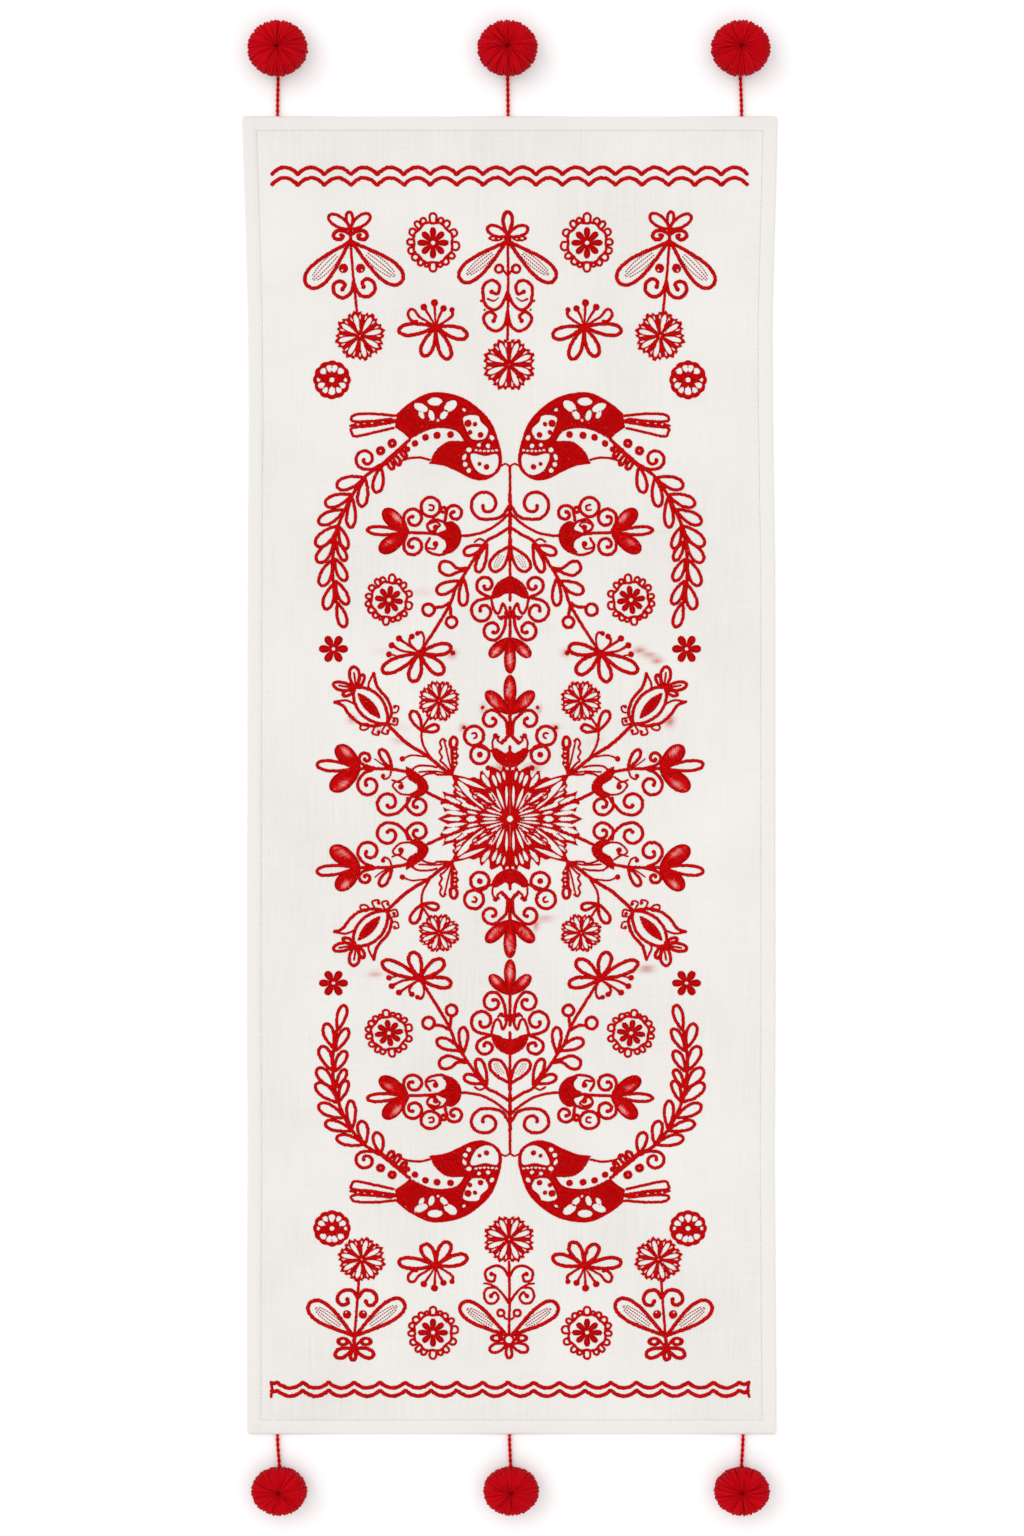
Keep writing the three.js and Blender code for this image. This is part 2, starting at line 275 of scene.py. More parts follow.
def join_copies(name, shape, corners, lengths, tone, material):
    """One mesh of many copies of a rod. corners is copies x corners x 3, in millimetres."""
    copies, count, _ = corners.shape
    faces = shape.faces[None] + (np.arange(copies) * count)[:, None, None]
    mesh = bpy.data.meshes.new(name)
    mesh.vertices.add(copies * count)
    mesh.vertices.foreach_set("co", (corners * MM).astype(np.float32).ravel())
    mesh.loops.add(faces.size)
    mesh.loops.foreach_set("vertex_index", faces.astype(np.int32).ravel())
    mesh.polygons.add(faces.size // 3)
    mesh.polygons.foreach_set("loop_start", np.arange(0, faces.size, 3, dtype=np.int32))
    mesh.update(calc_edges=True)
    uv = np.repeat(shape.uv[None], copies, axis=0)
    uv[..., 0] *= np.asarray(lengths, float)[:, None, None]
    layer = mesh.uv_layers.new(name="strand")
    layer.data.foreach_set("uv", uv.astype(np.float32).ravel())
    tones = np.broadcast_to(tone, (copies, count)).astype(np.float32)
    mesh.attributes.new("tone", "FLOAT", "POINT").data.foreach_set("value", tones.ravel())
    mesh.polygons.foreach_set("use_smooth", np.ones(faces.size // 3, bool))
    mesh.materials.append(material)
    return mesh


def show(name, mesh):
    """Puts a mesh in the scene as a piece of the runner."""
    obj = bpy.data.objects.new(name, mesh)
    scene.collection.objects.link(obj)
    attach(obj, "root")
    return obj


# Finishes

def shader_group(name, inputs, outputs):
    group = bpy.data.node_groups.new(name, "ShaderNodeTree")
    for label, kind, value in inputs:
        socket = group.interface.new_socket(name=label, in_out="INPUT", socket_type=kind)
        if value is not None:
            socket.default_value = value
    for label, kind in outputs:
        group.interface.new_socket(name=label, in_out="OUTPUT", socket_type=kind)
    return group, group.nodes.new("NodeGroupInput"), group.nodes.new("NodeGroupOutput")


def math_node(tree, operation, first, second=None, third=None):
    node = tree.nodes.new("ShaderNodeMath")
    node.operation = operation
    for socket, value in zip(node.inputs, (first, second, third)):
        if value is None:
            continue
        if isinstance(value, (int, float)):
            socket.default_value = value
        else:
            tree.links.new(value, socket)
    return node.outputs[0]


def noise_node(tree, vector, scale, detail=2.0, roughness=0.5):
    node = tree.nodes.new("ShaderNodeTexNoise")
    node.inputs["Scale"].default_value = scale
    node.inputs["Detail"].default_value = detail
    node.inputs["Roughness"].default_value = roughness
    tree.links.new(vector, node.inputs["Vector"])
    return node.outputs["Fac"]


def stretched(tree, vector, scale):
    node = tree.nodes.new("ShaderNodeVectorMath")
    node.operation = "MULTIPLY"
    tree.links.new(vector, node.inputs[0])
    node.inputs[1].default_value = scale
    return node.outputs["Vector"]


def make_twisted_fibres():
    """Fine fibres that wind round a strand. Along is in millimetres, around is from 0 to 1."""
    group, given, out = shader_group(
        "twisted_fibres",
        [("Strand", "NodeSocketVector", None), ("Plies", "NodeSocketFloat", 3.0),
         ("Twist", "NodeSocketFloat", 0.3)],
        [("Height", "NodeSocketFloat"), ("Shade", "NodeSocketFloat")],
    )
    split = group.nodes.new("ShaderNodeSeparateXYZ")
    group.links.new(given.outputs["Strand"], split.inputs[0])
    wound = math_node(group, "MULTIPLY_ADD", split.outputs["X"], given.outputs["Twist"], split.outputs["Y"])
    turns = math_node(group, "MULTIPLY", wound, given.outputs["Plies"])
    phase = math_node(group, "MULTIPLY", turns, 2 * math.pi)
    ply = math_node(group, "SINE", phase)
    lines = math_node(group, "SINE", math_node(group, "MULTIPLY", phase, 4.0))
    noise = noise_node(group, stretched(group, given.outputs["Strand"], (1.0, 9.0, 1.0)), 3.0)
    height = math_node(group, "MULTIPLY_ADD", ply, 0.3, 0.5)
    height = math_node(group, "MULTIPLY_ADD", lines, 0.1, height)
    height = math_node(group, "MULTIPLY_ADD", noise, 0.4, height)
    group.links.new(height, out.inputs["Height"])
    shade = math_node(group, "MULTIPLY_ADD", noise, 0.6, math_node(group, "MULTIPLY_ADD", ply, 0.2, 0.2))
    group.links.new(shade, out.inputs["Shade"])
    return group


def make_plain_weave():
    """Threads over and under each other, a little uneven. Place is in metres."""
    group, given, out = shader_group(
        "plain_weave",
        [("Place", "NodeSocketVector", None), ("Threads per metre", "NodeSocketFloat", 1250.0)],
        [("Height", "NodeSocketFloat"), ("Slub", "NodeSocketFloat")],
    )
    wander = noise_node(group, given.outputs["Place"], 60.0)
    split = group.nodes.new("ShaderNodeSeparateXYZ")
    group.links.new(given.outputs["Place"], split.inputs[0])
    rate = math_node(group, "MULTIPLY", given.outputs["Threads per metre"], math.pi)
    drift = math_node(group, "MULTIPLY", wander, 5.0)
    warp = math_node(group, "MULTIPLY_ADD", split.outputs["X"], rate, drift)
    weft = math_node(group, "MULTIPLY_ADD", split.outputs["Y"], rate, drift)
    warp = math_node(group, "SINE", warp)
    weft = math_node(group, "SINE", weft)
    checks = math_node(group, "MULTIPLY", warp, weft)
    crown = math_node(group, "ADD", math_node(group, "ABSOLUTE", warp), math_node(group, "ABSOLUTE", weft))
    height = math_node(group, "MULTIPLY_ADD", checks, 0.3, math_node(group, "MULTIPLY", crown, 0.4))
    upright = noise_node(group, stretched(group, given.outputs["Place"], (900.0, 22.0, 1.0)), 1.0, 3.0)
    level = noise_node(group, stretched(group, given.outputs["Place"], (30.0, 700.0, 1.0)), 1.0, 2.0)
    slub = math_node(group, "MULTIPLY_ADD", upright, 0.65, math_node(group, "MULTIPLY", level, 0.35))
    group.links.new(math_node(group, "MULTIPLY_ADD", slub, 0.8, height), out.inputs["Height"])
    group.links.new(slub, out.inputs["Slub"])
    return group


TWISTED_FIBRES = make_twisted_fibres()
PLAIN_WEAVE = make_plain_weave()


def place_group(tree, group, **values):
    node = tree.nodes.new("ShaderNodeGroup")
    node.node_tree = group
    for label, value in values.items():
        socket = node.inputs[label.replace("_", " ")]
        if isinstance(value, (int, float)):
            socket.default_value = value
        else:
            tree.links.new(value, socket)
    return node


def colour_ramp(tree, factor, stops):
    node = tree.nodes.new("ShaderNodeValToRGB")
    tree.links.new(factor, node.inputs["Fac"])
    ramp = node.color_ramp
    while len(ramp.elements) < len(stops):
        ramp.elements.new(0.5)
    for element, (place, colour) in zip(ramp.elements, stops):
        element.position = place
        element.color = (*colour, 1)
    return node.outputs["Color"]


def mix_colours(tree, factor, under, over):
    """One colour laid over another by a factor from 0 to 1."""
    node = tree.nodes.new("ShaderNodeMix")
    node.data_type = "RGBA"
    tree.links.new(factor, node.inputs["Factor"])
    tree.links.new(under, node.inputs["A"])
    node.inputs["B"].default_value = (*over, 1)
    return node.outputs["Result"]


def new_finish(name, roughness, sheen, sheen_tint, specular):
    material = bpy.data.materials.new(name)
    material.use_nodes = True
    shader = material.node_tree.nodes["Principled BSDF"]
    shader.inputs["Roughness"].default_value = roughness
    shader.inputs["Sheen Weight"].default_value = sheen
    shader.inputs["Sheen Roughness"].default_value = 0.5
    shader.inputs["Sheen Tint"].default_value = (*sheen_tint, 1)
    shader.inputs["Specular IOR Level"].default_value = specular
    return material, material.node_tree, shader


def add_bump(tree, shader, height, strength, distance):
    bump = tree.nodes.new("ShaderNodeBump")
    bump.inputs["Strength"].default_value = strength
    bump.inputs["Distance"].default_value = distance
    tree.links.new(height, bump.inputs["Height"])
    tree.links.new(bump.outputs["Normal"], shader.inputs["Normal"])


def attribute(tree, name):
    node = tree.nodes.new("ShaderNodeAttribute")
    node.attribute_name = name
    return node.outputs["Fac"]


def strand_finish(name, stops, plies, twist, depth, roughness=0.8, sheen=0.05, sheen_tint=(1, 0.02, 0.03)):
    """Red yarn or thread. tone 0 is its darkest colour, 1 is white light on it, and 0.5 is its own red."""
    material, tree, shader = new_finish(name, roughness, sheen, sheen_tint, 0.04)
    uv = tree.nodes.new("ShaderNodeUVMap")
    uv.uv_map = "strand"
    fibres = place_group(tree, TWISTED_FIBRES, Strand=uv.outputs["UV"], Plies=plies, Twist=twist)
    tone = math_node(tree, "MULTIPLY_ADD", fibres.outputs["Shade"], 0.16, attribute(tree, "tone"))
    tone = math_node(tree, "SUBTRACT", tone, 0.08)
    tree.links.new(colour_ramp(tree, tone, stops), shader.inputs["Base Color"])
    add_bump(tree, shader, fibres.outputs["Height"], 0.7, depth)
    return material


THREAD_STOPS = [
    (0.0, (0.17, 0.0004, 0.0005)),
    (0.3, (0.37, 0.0006, 0.0008)),
    (0.5, (0.54, 0.0008, 0.001)),
    (0.62, (0.64, 0.004, 0.005)),
    (1.0, (0.88, 0.55, 0.52)),
]
YARN_STOPS = [
    (0.0, (0.09, 0.0003, 0.0008)),
    (0.3, (0.285, 0.0004, 0.0015)),
    (0.5, (0.48, 0.0006, 0.004)),
    (0.7, (0.67, 0.003, 0.012)),
    (1.0, (0.80, 0.09, 0.12)),
]
thread_finish = strand_finish("red_thread", THREAD_STOPS, 2.0, 0.35, 0.00012, roughness=0.6)
yarn_finish = strand_finish("red_yarn", YARN_STOPS, 3.0, 0.18, 0.0002, sheen=0.06, sheen_tint=(1, 0.03, 0.08))
CREAM_STOPS = [
    (0.0, (0.50, 0.46, 0.40)),
    (0.3, (0.62, 0.58, 0.53)),
    (0.5, (0.72, 0.69, 0.65)),
    (0.7, (0.78, 0.76, 0.72)),
    (1.0, (0.85, 0.84, 0.81)),
]
cream_finish = strand_finish("cream_thread", CREAM_STOPS, 2.0, 0.35, 0.0001, sheen_tint=(1, 1, 1))


HEM_WHITE = (0.750, 0.729, 0.695)
DYE_RED = (0.50, 0.10, 0.075)


def make_cloth_finish():
    """White cloth, a little slubby. hem and stain are attributes of the mesh, from 0 to 1."""
    material, tree, shader = new_finish("white_cloth", 0.9, 0.1, (1, 1, 1), 0.2)
    place = tree.nodes.new("ShaderNodeTexCoord")
    weave = place_group(tree, PLAIN_WEAVE, Place=place.outputs["Object"])
    broad = noise_node(tree, place.outputs["Object"], 9.0, 3.0)
    half_slub = math_node(tree, "MULTIPLY", weave.outputs["Slub"], 0.5)
    worn = math_node(tree, "MULTIPLY_ADD", broad, 0.5, half_slub)
    plain = colour_ramp(tree, worn, [
        (0.30, (0.672, 0.642, 0.605)),
        (0.50, (0.742, 0.718, 0.684)),
        (0.70, (0.788, 0.768, 0.735)),
    ])
    hemmed = mix_colours(tree, attribute(tree, "hem"), plain, HEM_WHITE)
    stained = mix_colours(tree, attribute(tree, "stain"), hemmed, DYE_RED)
    tree.links.new(stained, shader.inputs["Base Color"])
    add_bump(tree, shader, weave.outputs["Height"], 0.45, 0.00015)
    return material


cloth_finish = make_cloth_finish()


# Cloth

GRID_PITCH = 2.7
GRID_HALF_WIDTH = 200
SIDE_BAND = 15
EDGE_ROLL = 1.1
# How high the cloth's edge stands before it turns under, and how far the underside is drawn in
EDGE_FOOT = 0.35
UNDERSIDE_INSET = 0.3
DEEPEST_STAIN = 0.9
# Faint marks of dye on the cloth: x, y, half width, half height, strength
STAINS = [
    (-66, 139, 7, 3, 0.2), (60, 92, 20, 5, 0.08), (-86, 36, 11, 3, 0.18), (0, -108, 28, 6, 0.06),
    (-20, 51, 2.2, 3.2, 0.75), (22, 50, 2.2, 3.2, 0.7), (-35.5, 36, 2.6, 3, 0.8), (34.5, 36, 3.2, 2.6, 0.75),
    (43, 93, 3.4, 2.8, 0.75), (-43.5, 92, 3.2, 3.2, 0.85), (17, 5.5, 6, 3, 0.8), (-7.5, 6, 4, 2.6, 0.8),
    (98.5, 95, 4.5, 2.2, 0.95), (106, 91, 5, 1.8, 0.85), (112, 87, 4, 2.2, 0.9), (-119.5, 42.5, 3, 2.8, 0.75),
    (121.5, 41, 3.6, 4, 0.95), (20, -114, 2.4, 4, 0.8), (27, -109, 6, 2, 0.6),
    (-102, -151, 5, 2.2, 0.6), (104, -147, 5.5, 2.4, 0.9), (-84, 26, 5, 1.8, 0.5), (-100, 35, 3, 2, 0.35),
    (-24, -62, 9, 3, 0.22), (26, -62, 9, 3, 0.22), (-84, 120, 5, 8, 0.08), (120, 60, 8, 5, 0.05),
    (30, 112, 12, 4, 0.05), (-96, 94, 10, 3, 0.12), (66, 26, 6, 2, 0.2),
]


def graded_lines(low, high, pitch):
    """Grid lines from low to high: close together over the hems, even between them."""
    near = np.array([0, 0.25, 0.6, 1.1, 1.8, 2.8, 4.5, 6.5, 8.5, 9.8, 10.2, 10.6, 11, 11.5, 12.4, 13.8])
    count = round((high - low - 2 * near[-1]) / pitch)
    inner = np.linspace(low + near[-1], high - near[-1], count + 1)[1:-1]
    return np.concatenate([low + near, inner, high - near[::-1]])


def make_cloth():
    """The woven cloth with its hem, swellings and creases, as a grid that is closed underneath."""
    columns = graded_lines(-GRID_HALF_WIDTH, GRID_HALF_WIDTH, GRID_PITCH)
    rows = graded_lines(-LENGTH / 2, LENGTH / 2, GRID_PITCH)
    bm = bmesh.new()
    bmesh.ops.create_grid(bm, x_segments=len(columns) - 1, y_segments=len(rows) - 1, size=1)
    corners = np.array([v.co[:] for v in bm.verts])
    column = np.rint((corners[:, 0] + 1) / 2 * (len(columns) - 1)).astype(int)
    row = np.rint((corners[:, 1] + 1) / 2 * (len(rows) - 1)).astype(int)
    y = rows[row]
    left = edge_at("left", y)
    right = edge_at("right", y)
    across = columns[column]
    middle = np.clip(across / (GRID_HALF_WIDTH - SIDE_BAND), -1, 1)
    between = 0.5 * ((left + SIDE_BAND) * (1 - middle) + (right - SIDE_BAND) * (1 + middle))
    x = np.where(middle >= 1, right - (GRID_HALF_WIDTH - across), between)
    x = np.where(middle <= -1, left + (across + GRID_HALF_WIDTH), x)
    z = face_height(x, y)
    side_inset = np.minimum(x - left, right - x)
    end_inset = LENGTH / 2 - np.abs(y)
    rolled = np.clip(1 - np.minimum(side_inset, end_inset) / EDGE_ROLL, 0, 1)
    z -= EDGE_ROLL * (1 - np.sqrt(1 - rolled**2))
    u = np.clip(1 - side_inset / CORNER_ROUND, 0, 1)
    v = np.clip(1 - end_inset / CORNER_ROUND, 0, 1)
    x -= np.sign(x) * CORNER_ROUND * u * (1 - np.sqrt(1 - v * v / 2))
    y = y - np.sign(y) * CORNER_ROUND * v * (1 - np.sqrt(1 - u * u / 2))
    hem = 1 - smoothstep(np.minimum(side_inset, end_inset), HEM_WIDTH - HEM_SLOPE, HEM_WIDTH + 0.3)
    stain = np.zeros_like(x)
    for at_x, at_y, wide, high, strength in STAINS:
        stain += strength * np.exp(-(((x - at_x) / wide) ** 2 + ((y - at_y) / high) ** 2))
    hem_layer = bm.verts.layers.float.new("hem")
    stain_layer = bm.verts.layers.float.new("stain")
    for vert, *place, is_hem, is_stained in zip(bm.verts, x * MM, y * MM, z * MM, hem, stain):
        vert.co = place
        vert[hem_layer] = is_hem
        vert[stain_layer] = min(DEEPEST_STAIN, is_stained)
    rim = [edge for edge in bm.edges if edge.is_boundary]
    for drop_to, pull in ((EDGE_FOOT, 0), (0, UNDERSIDE_INSET)):
        made = bmesh.ops.extrude_edge_only(bm, edges=rim)["geom"]
        for vert in (part for part in made if isinstance(part, bmesh.types.BMVert)):
            vert.co.z = drop_to * MM
            vert.co.x -= math.copysign(pull * MM, vert.co.x)
            if abs(vert.co.y) > (LENGTH / 2 - 1) * MM:
                vert.co.y -= math.copysign(pull * MM, vert.co.y)
        rim = [part for part in made if isinstance(part, bmesh.types.BMEdge)]
    bmesh.ops.contextual_create(bm, geom=rim)
    bmesh.ops.recalc_face_normals(bm, faces=bm.faces[:])
    mesh = bpy.data.meshes.new("woven_cloth")
    bm.to_mesh(mesh)
    bm.free()
    mesh.polygons.foreach_set("use_smooth", np.ones(len(mesh.polygons), bool))
    mesh.materials.append(cloth_finish)
    cloth = show("woven_cloth", mesh)
    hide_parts("cloth")
    return cloth


cloth = make_cloth()


# Cords and pompoms

# A cord is two strands wound round each other: how far out they lie, their radius and their sides
STRAND_OFFSET = 0.62
STRAND_RADIUS = 0.79
STRAND_SIDES = 9


def direction_along(line):
    """The direction in which a line runs at each of its points."""
    ahead = np.gradient(line, axis=-2)
    ahead /= np.linalg.norm(ahead, axis=-1, keepdims=True)
    return ahead


def sweep(shape, middles, side, up, radius):
    """Bends copies of a rod onto lines. middles, side and up are copies x rings x 3."""
    ring = shape.ring
    a = shape.corners[None, :, 0:1] * side[:, ring]
    b = shape.corners[None, :, 1:2] * up[:, ring]
    return middles[:, ring] + (a + b) * radius[:, ring, None]


def cord_line(end, hem_x, x):
    """A cord's middle line, from its hem to the middle of its pompom."""
    route = LONG_ROUTE if end > 0 else SHORT_ROUTE
    out, up = route.T
    across = hem_x + (x - hem_x) * smoothstep(out, 0, out[-1])
    return np.column_stack([across, end * (LENGTH / 2 + out), up])


def make_cord(name, end, hem_x, x):
    route = cord_line(end, hem_x, x)
    line = curve(route, step=0.42)
    ahead = direction_along(line)
    side = np.cross(ahead, (0, 0, 1.0))
    side /= np.linalg.norm(side, axis=1, keepdims=True)
    up = np.cross(side, ahead)
    along = distances_along(line)
    rings = len(line)
    stations = [(k / (rings - 1), 1.0) for k in range(rings)]
    shape = Rod(STRAND_SIDES, stations)
    plies = []
    for start in (0, math.pi):
        turn = start + 2 * math.pi * along / TWIST_PITCH
        offset = np.cos(turn)[:, None] * side + np.sin(turn)[:, None] * up
        plies.append(line + STRAND_OFFSET * offset)
    middles = np.array(plies)
    swell = STRAND_RADIUS * (1 + 0.03 * np.sin(2 * math.pi * along / 3.1))
    taper = np.clip(np.minimum(along + 0.5, along[-1] - along + 0.5) / 0.8, 0.5, 1)
    radius = np.array([swell * taper, swell * taper])
    corners = sweep(shape, middles, np.array([side, side]), np.array([up, up]), radius)
    tone = 0.5 + 0.06 * np.sin(along * 0.9)[shape.ring][None]
    mesh = join_copies("cord_yarn_" + name, shape, corners, [along[-1]] * 2, tone, cord_finish)
    cord = show("cord_yarn_" + name, mesh)
    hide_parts("cord_" + name)


cord_finish = strand_finish("red_cord", THREAD_STOPS, 3.0, 0.22, 0.0002, roughness=0.7)

# Families of strands: how many locks, strands in a lock, turn of the first, tone, then radius and height
# at each station, in parts of the pompom's half width and half height. The tone falls from the crown to
# the strands near the table: painted shade, darker lower down.
STRANDS = [
    (46, 4, 0.0, 0.56, (
        (0.02, 0.50), (0.10, 0.80), (0.30, 0.98), (0.56, 0.96), (0.80, 0.76), (0.95, 0.42),
        (0.99, 0.12))),
    (46, 3, 0.0, 0.50, (
        (0.10, 0.30), (0.34, 0.66), (0.66, 0.66), (0.90, 0.36), (0.99, 0.04), (0.995, -0.16),
        (0.975, -0.26))),
    (46, 2, 0.0, 0.46, (
        (0.10, 0.05), (0.40, 0.16), (0.75, 0.06), (0.94, -0.12), (0.985, -0.30), (0.97, -0.42),
        (0.95, -0.48))),
    (44, 2, 0.6, 0.43, (
        (0.10, -0.10), (0.36, -0.22), (0.66, -0.34), (0.84, -0.48), (0.90, -0.62), (0.89, -0.72),
        (0.86, -0.78))),
    (36, 2, 0.1, 0.40, (
        (0.08, -0.25), (0.28, -0.46), (0.50, -0.66), (0.66, -0.80), (0.73, -0.90), (0.73, -0.95),
        (0.71, -0.97))),
]
STATIONS = 7
MOST_LOCKS = 46
PLEATS = 21
PLEAT_WIDTH = 0.075
# Half the angle, in radians, that strands near the table leave free for the cord
CORD_GAP = 0.13
# A strand's radius, by how many share a lock
STRAND_THICKNESS = {2: 1.15, 3: 0.85, 4: 0.68}
CORE_SIZE = (0.8, 0.8, 0.72)
# The core's dark tone is painted shade in the gaps between the locks
CORE_TONE = 0.12


def make_pompom(number, name, end, x, out, wide, deep, high):
    """Locks of yarn round a core darkened with painted shade, with pleats where the locks part."""
    rng = np.random.default_rng(100 + number)
    middle = np.array([x, end * (LENGTH / 2 + out), high / 2])
    half = np.array([wide, deep, high]) / 2
    pleat_at = (np.arange(PLEATS) + rng.uniform(-0.3, 0.3, PLEATS)) * 2 * math.pi / PLEATS
    pleat_deep = rng.uniform(0.3, 1.0, PLEATS)
    pleat_reach = rng.uniform(0.45, 0.92, PLEATS)
    shape = Rod(4, [(k / (STATIONS - 1), 1.0) for k in range(STATIONS)])
    all_middles, all_sides, all_radii, all_tones = [], [], [], []
    bumps = 1 + rng.uniform(-0.022, 0.012, MOST_LOCKS)
    for locks, per_lock, first, tone, stations in STRANDS:
        r, h = np.array(stations).T
        for lock in range(locks):
            lock_turn = 2 * math.pi * (lock + first) / locks + 0.02 * math.sin(lock * 2.4 + number)
            lock_tone = tone + rng.uniform(-0.05, 0.05)
            away = (lock_turn - math.radians(-90 * end) + math.pi) % (2 * math.pi) - math.pi
            if h[-1] < -0.3 and abs(away) < CORD_GAP:
                continue
            for strand in range(per_lock):
                across = (strand - (per_lock - 1) / 2) / per_lock
                turn = lock_turn + across * 2 * math.pi / locks * 0.86 + rng.uniform(-0.01, 0.01)
                gap = (turn - pleat_at + math.pi) % (2 * math.pi) - math.pi
                near = int(np.argmin(np.abs(gap)))
                valley = pleat_deep[near] * math.exp(-((gap[near] / PLEAT_WIDTH) ** 2))
                fade = np.clip(np.clip(1 - r / pleat_reach[near], 0, 1) * 2.2, 0, 1)
                sunk = valley * fade * (0.12 if h[0] > 0.2 else 0.03)
                reach = bumps[lock] * (1.012 - 0.055 * (2.4 * across) ** 2) + rng.uniform(-0.004, 0.004)
                radius_share = r * np.where(r > 0.5, reach, 1)
                places = np.column_stack([
                    radius_share * half[0] * math.cos(turn),
                    radius_share * half[1] * math.sin(turn),
                    (h - sunk * (r > 0.05)) * half[2],
                ])
                all_middles.append(places)
                all_sides.append(np.tile((-math.sin(turn), math.cos(turn), 0), (STATIONS, 1)))
                thick = np.interp(r, (0, 0.15, 0.5, 0.9, 1), (0.45, 0.62, 0.95, 1.05, 0.8))
                thick[-1] *= 0.62
                all_radii.append(thick * STRAND_THICKNESS[per_lock])
                # Painted shade: strands darker down the pleat valleys and in the dimple at the middle
                shade = lock_tone + rng.uniform(-0.035, 0.035) - 0.42 * valley * fade
                all_tones.append(shade - 0.16 * np.clip(1 - r / 0.12, 0, 1))
    middles = np.array(all_middles)
    sides = np.array(all_sides, float)
    ups = np.cross(direction_along(middles), sides)
    radii = np.array(all_radii)
    corners = sweep(shape, middles, sides, ups, radii) + middle
    corners[..., 2] = np.clip(corners[..., 2], 0.0, high)
    tones = np.array(all_tones)[:, shape.ring]
    lengths = np.linalg.norm(np.diff(middles, axis=1), axis=2).sum(axis=1)
    mesh = join_copies("pompom_yarn_" + name, shape, corners, lengths, tones, yarn_finish)
    bm = bmesh.new()
    bm.from_mesh(mesh)
    tone_layer = bm.verts.layers.float["tone"]
    core = bmesh.ops.create_uvsphere(bm, u_segments=24, v_segments=14, radius=1)["verts"]
    for vert in core:
        vert[tone_layer] = CORE_TONE
    bmesh.ops.scale(bm, vec=half * MM * CORE_SIZE, verts=core)
    bmesh.ops.translate(bm, vec=middle * MM, verts=core)
    bm.to_mesh(mesh)
    bm.free()
    mesh.polygons.foreach_set("use_smooth", np.ones(len(mesh.polygons), bool))
    pompom = show("pompom_yarn_" + name, mesh)
    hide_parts("pompom_" + name)
    return pompom


for number, (name, end, hem_x, x, out, wide, deep, high) in enumerate(TASSELS):
    pompom = make_pompom(number, name, end, x, out, wide, deep, high)
    make_cord(name, end, hem_x, x)


# The embroidery. A motif is a list of marks, drawn in steps from the middle of the star: out to the side,
# and up along the cloth. A step is one pixel of the photo, and places and points were read from enlarged
# parts of it. Each quarter of the pattern mirrors the others.

# A step in millimetres, the star's middle on the cloth, and the widths of sewn lines in steps
STEP = 0.7593
MIDDLE = (0.3, -33.2)
LINE = 3.5
BOLD = 4.0
FINE = 2.3
TAPER = (1.8, 3.2)
# How far down a thing lies in the lower half, for how far up its twin lies in the upper half: up, down
LOWER_PLACES = np.array([
    (0, 0), (118, 114), (167, 161), (219, 214), (284, 274.5), (314, 303.5), (353, 335), (398, 376.5),
    (426, 403), (439, 409.3), (454, 420), (483, 440.3), (492, 445), (576, 513.5), (608, 538), (660, 590),
])


class Mark:
    """A line of stitches or a filled shape. One with an anchor keeps its shape when it is mirrored."""

    def __init__(self, kind, paths, width=LINE, heading=0.0, anchor=None, glow=None, tone=0.5):
        self.kind = kind
        self.paths = [np.array(path, float) for path in paths]
        self.width = width
        self.heading = heading
        self.anchor = anchor
        self.glow = glow
        self.tone = tone

    def copy(self, change, anchor, mirror=1, turn=0.0):
        """The mark with its points changed. mirror -1 turns its stitches the other way."""
        glow = None
        if self.glow is not None:
            ahead = np.radians(self.glow[2])
            ends = np.array([self.glow[0], self.glow[0] + 0.1 * np.array([np.cos(ahead), np.sin(ahead)])])
            spot, further = change(ends)
            glow = (spot, self.glow[1], math.degrees(math.atan2(*(further - spot)[::-1])))
        heading = math.radians(self.heading)
        heading = math.degrees(math.atan2(mirror * math.sin(heading), math.cos(heading))) + turn
        paths = [change(path) for path in self.paths]
        return Mark(self.kind, paths, self.width, heading, anchor, glow, self.tone)


def line(points, width=LINE):
    return [Mark("line", [curve(points)], width)]


def outline(path, width=LINE):
    return [Mark("line", [np.vstack([path, path[:1]])], width)]


def fill(path, holes=(), heading=0.0, glow=None, tone=0.5):
    return [Mark("fill", [path, *holes], heading=heading, glow=glow, tone=tone)]


def drop(base, tip, wide, sharp=1.1, blunt=0.5, count=16):
    """The outline of a petal or leaf, from a narrow base to its tip."""
    base = np.array(base, float)
    axis = np.array(tip, float) - base
    side = np.array([-axis[1], axis[0]]) / np.linalg.norm(axis)
    t = 0.5 - 0.5 * np.cos(np.linspace(0, math.pi, count))
    peak = sharp / (sharp + blunt)
    swell = (t / peak) ** sharp * ((1 - t) / (1 - peak)) ** blunt * wide / 2
    there = base + axis * t[:, None] + side * swell[:, None]
    back = base + axis * t[:, None] - side * swell[:, None]
    return np.vstack([there, back[-2:0:-1]])


def mirrored(points, side):
    """Points to the right of a middle line, for side 1, or their mirror image on its left, for -1."""
    return [(x * side, y) for x, y in points]


def axis_heading(base, tip):
    return math.degrees(math.atan2(tip[1] - base[1], tip[0] - base[0]))


def petal(base, tip, wide, width=LINE, **shape):
    return outline(drop(base, tip, wide, **shape), width)


def full_petal(base, tip, wide, glow=None, slant=62, sharp=0.8, blunt=0.5):
    shape = drop(base, tip, wide, sharp=sharp, blunt=blunt)
    edge = outline(shape, 1.3)
    # Painted shade: the edge's thread is darker than the fill, for the shade between petals
    edge[0].tone = 0.36
    return fill(shape, heading=axis_heading(base, tip) + slant, glow=glow) + edge


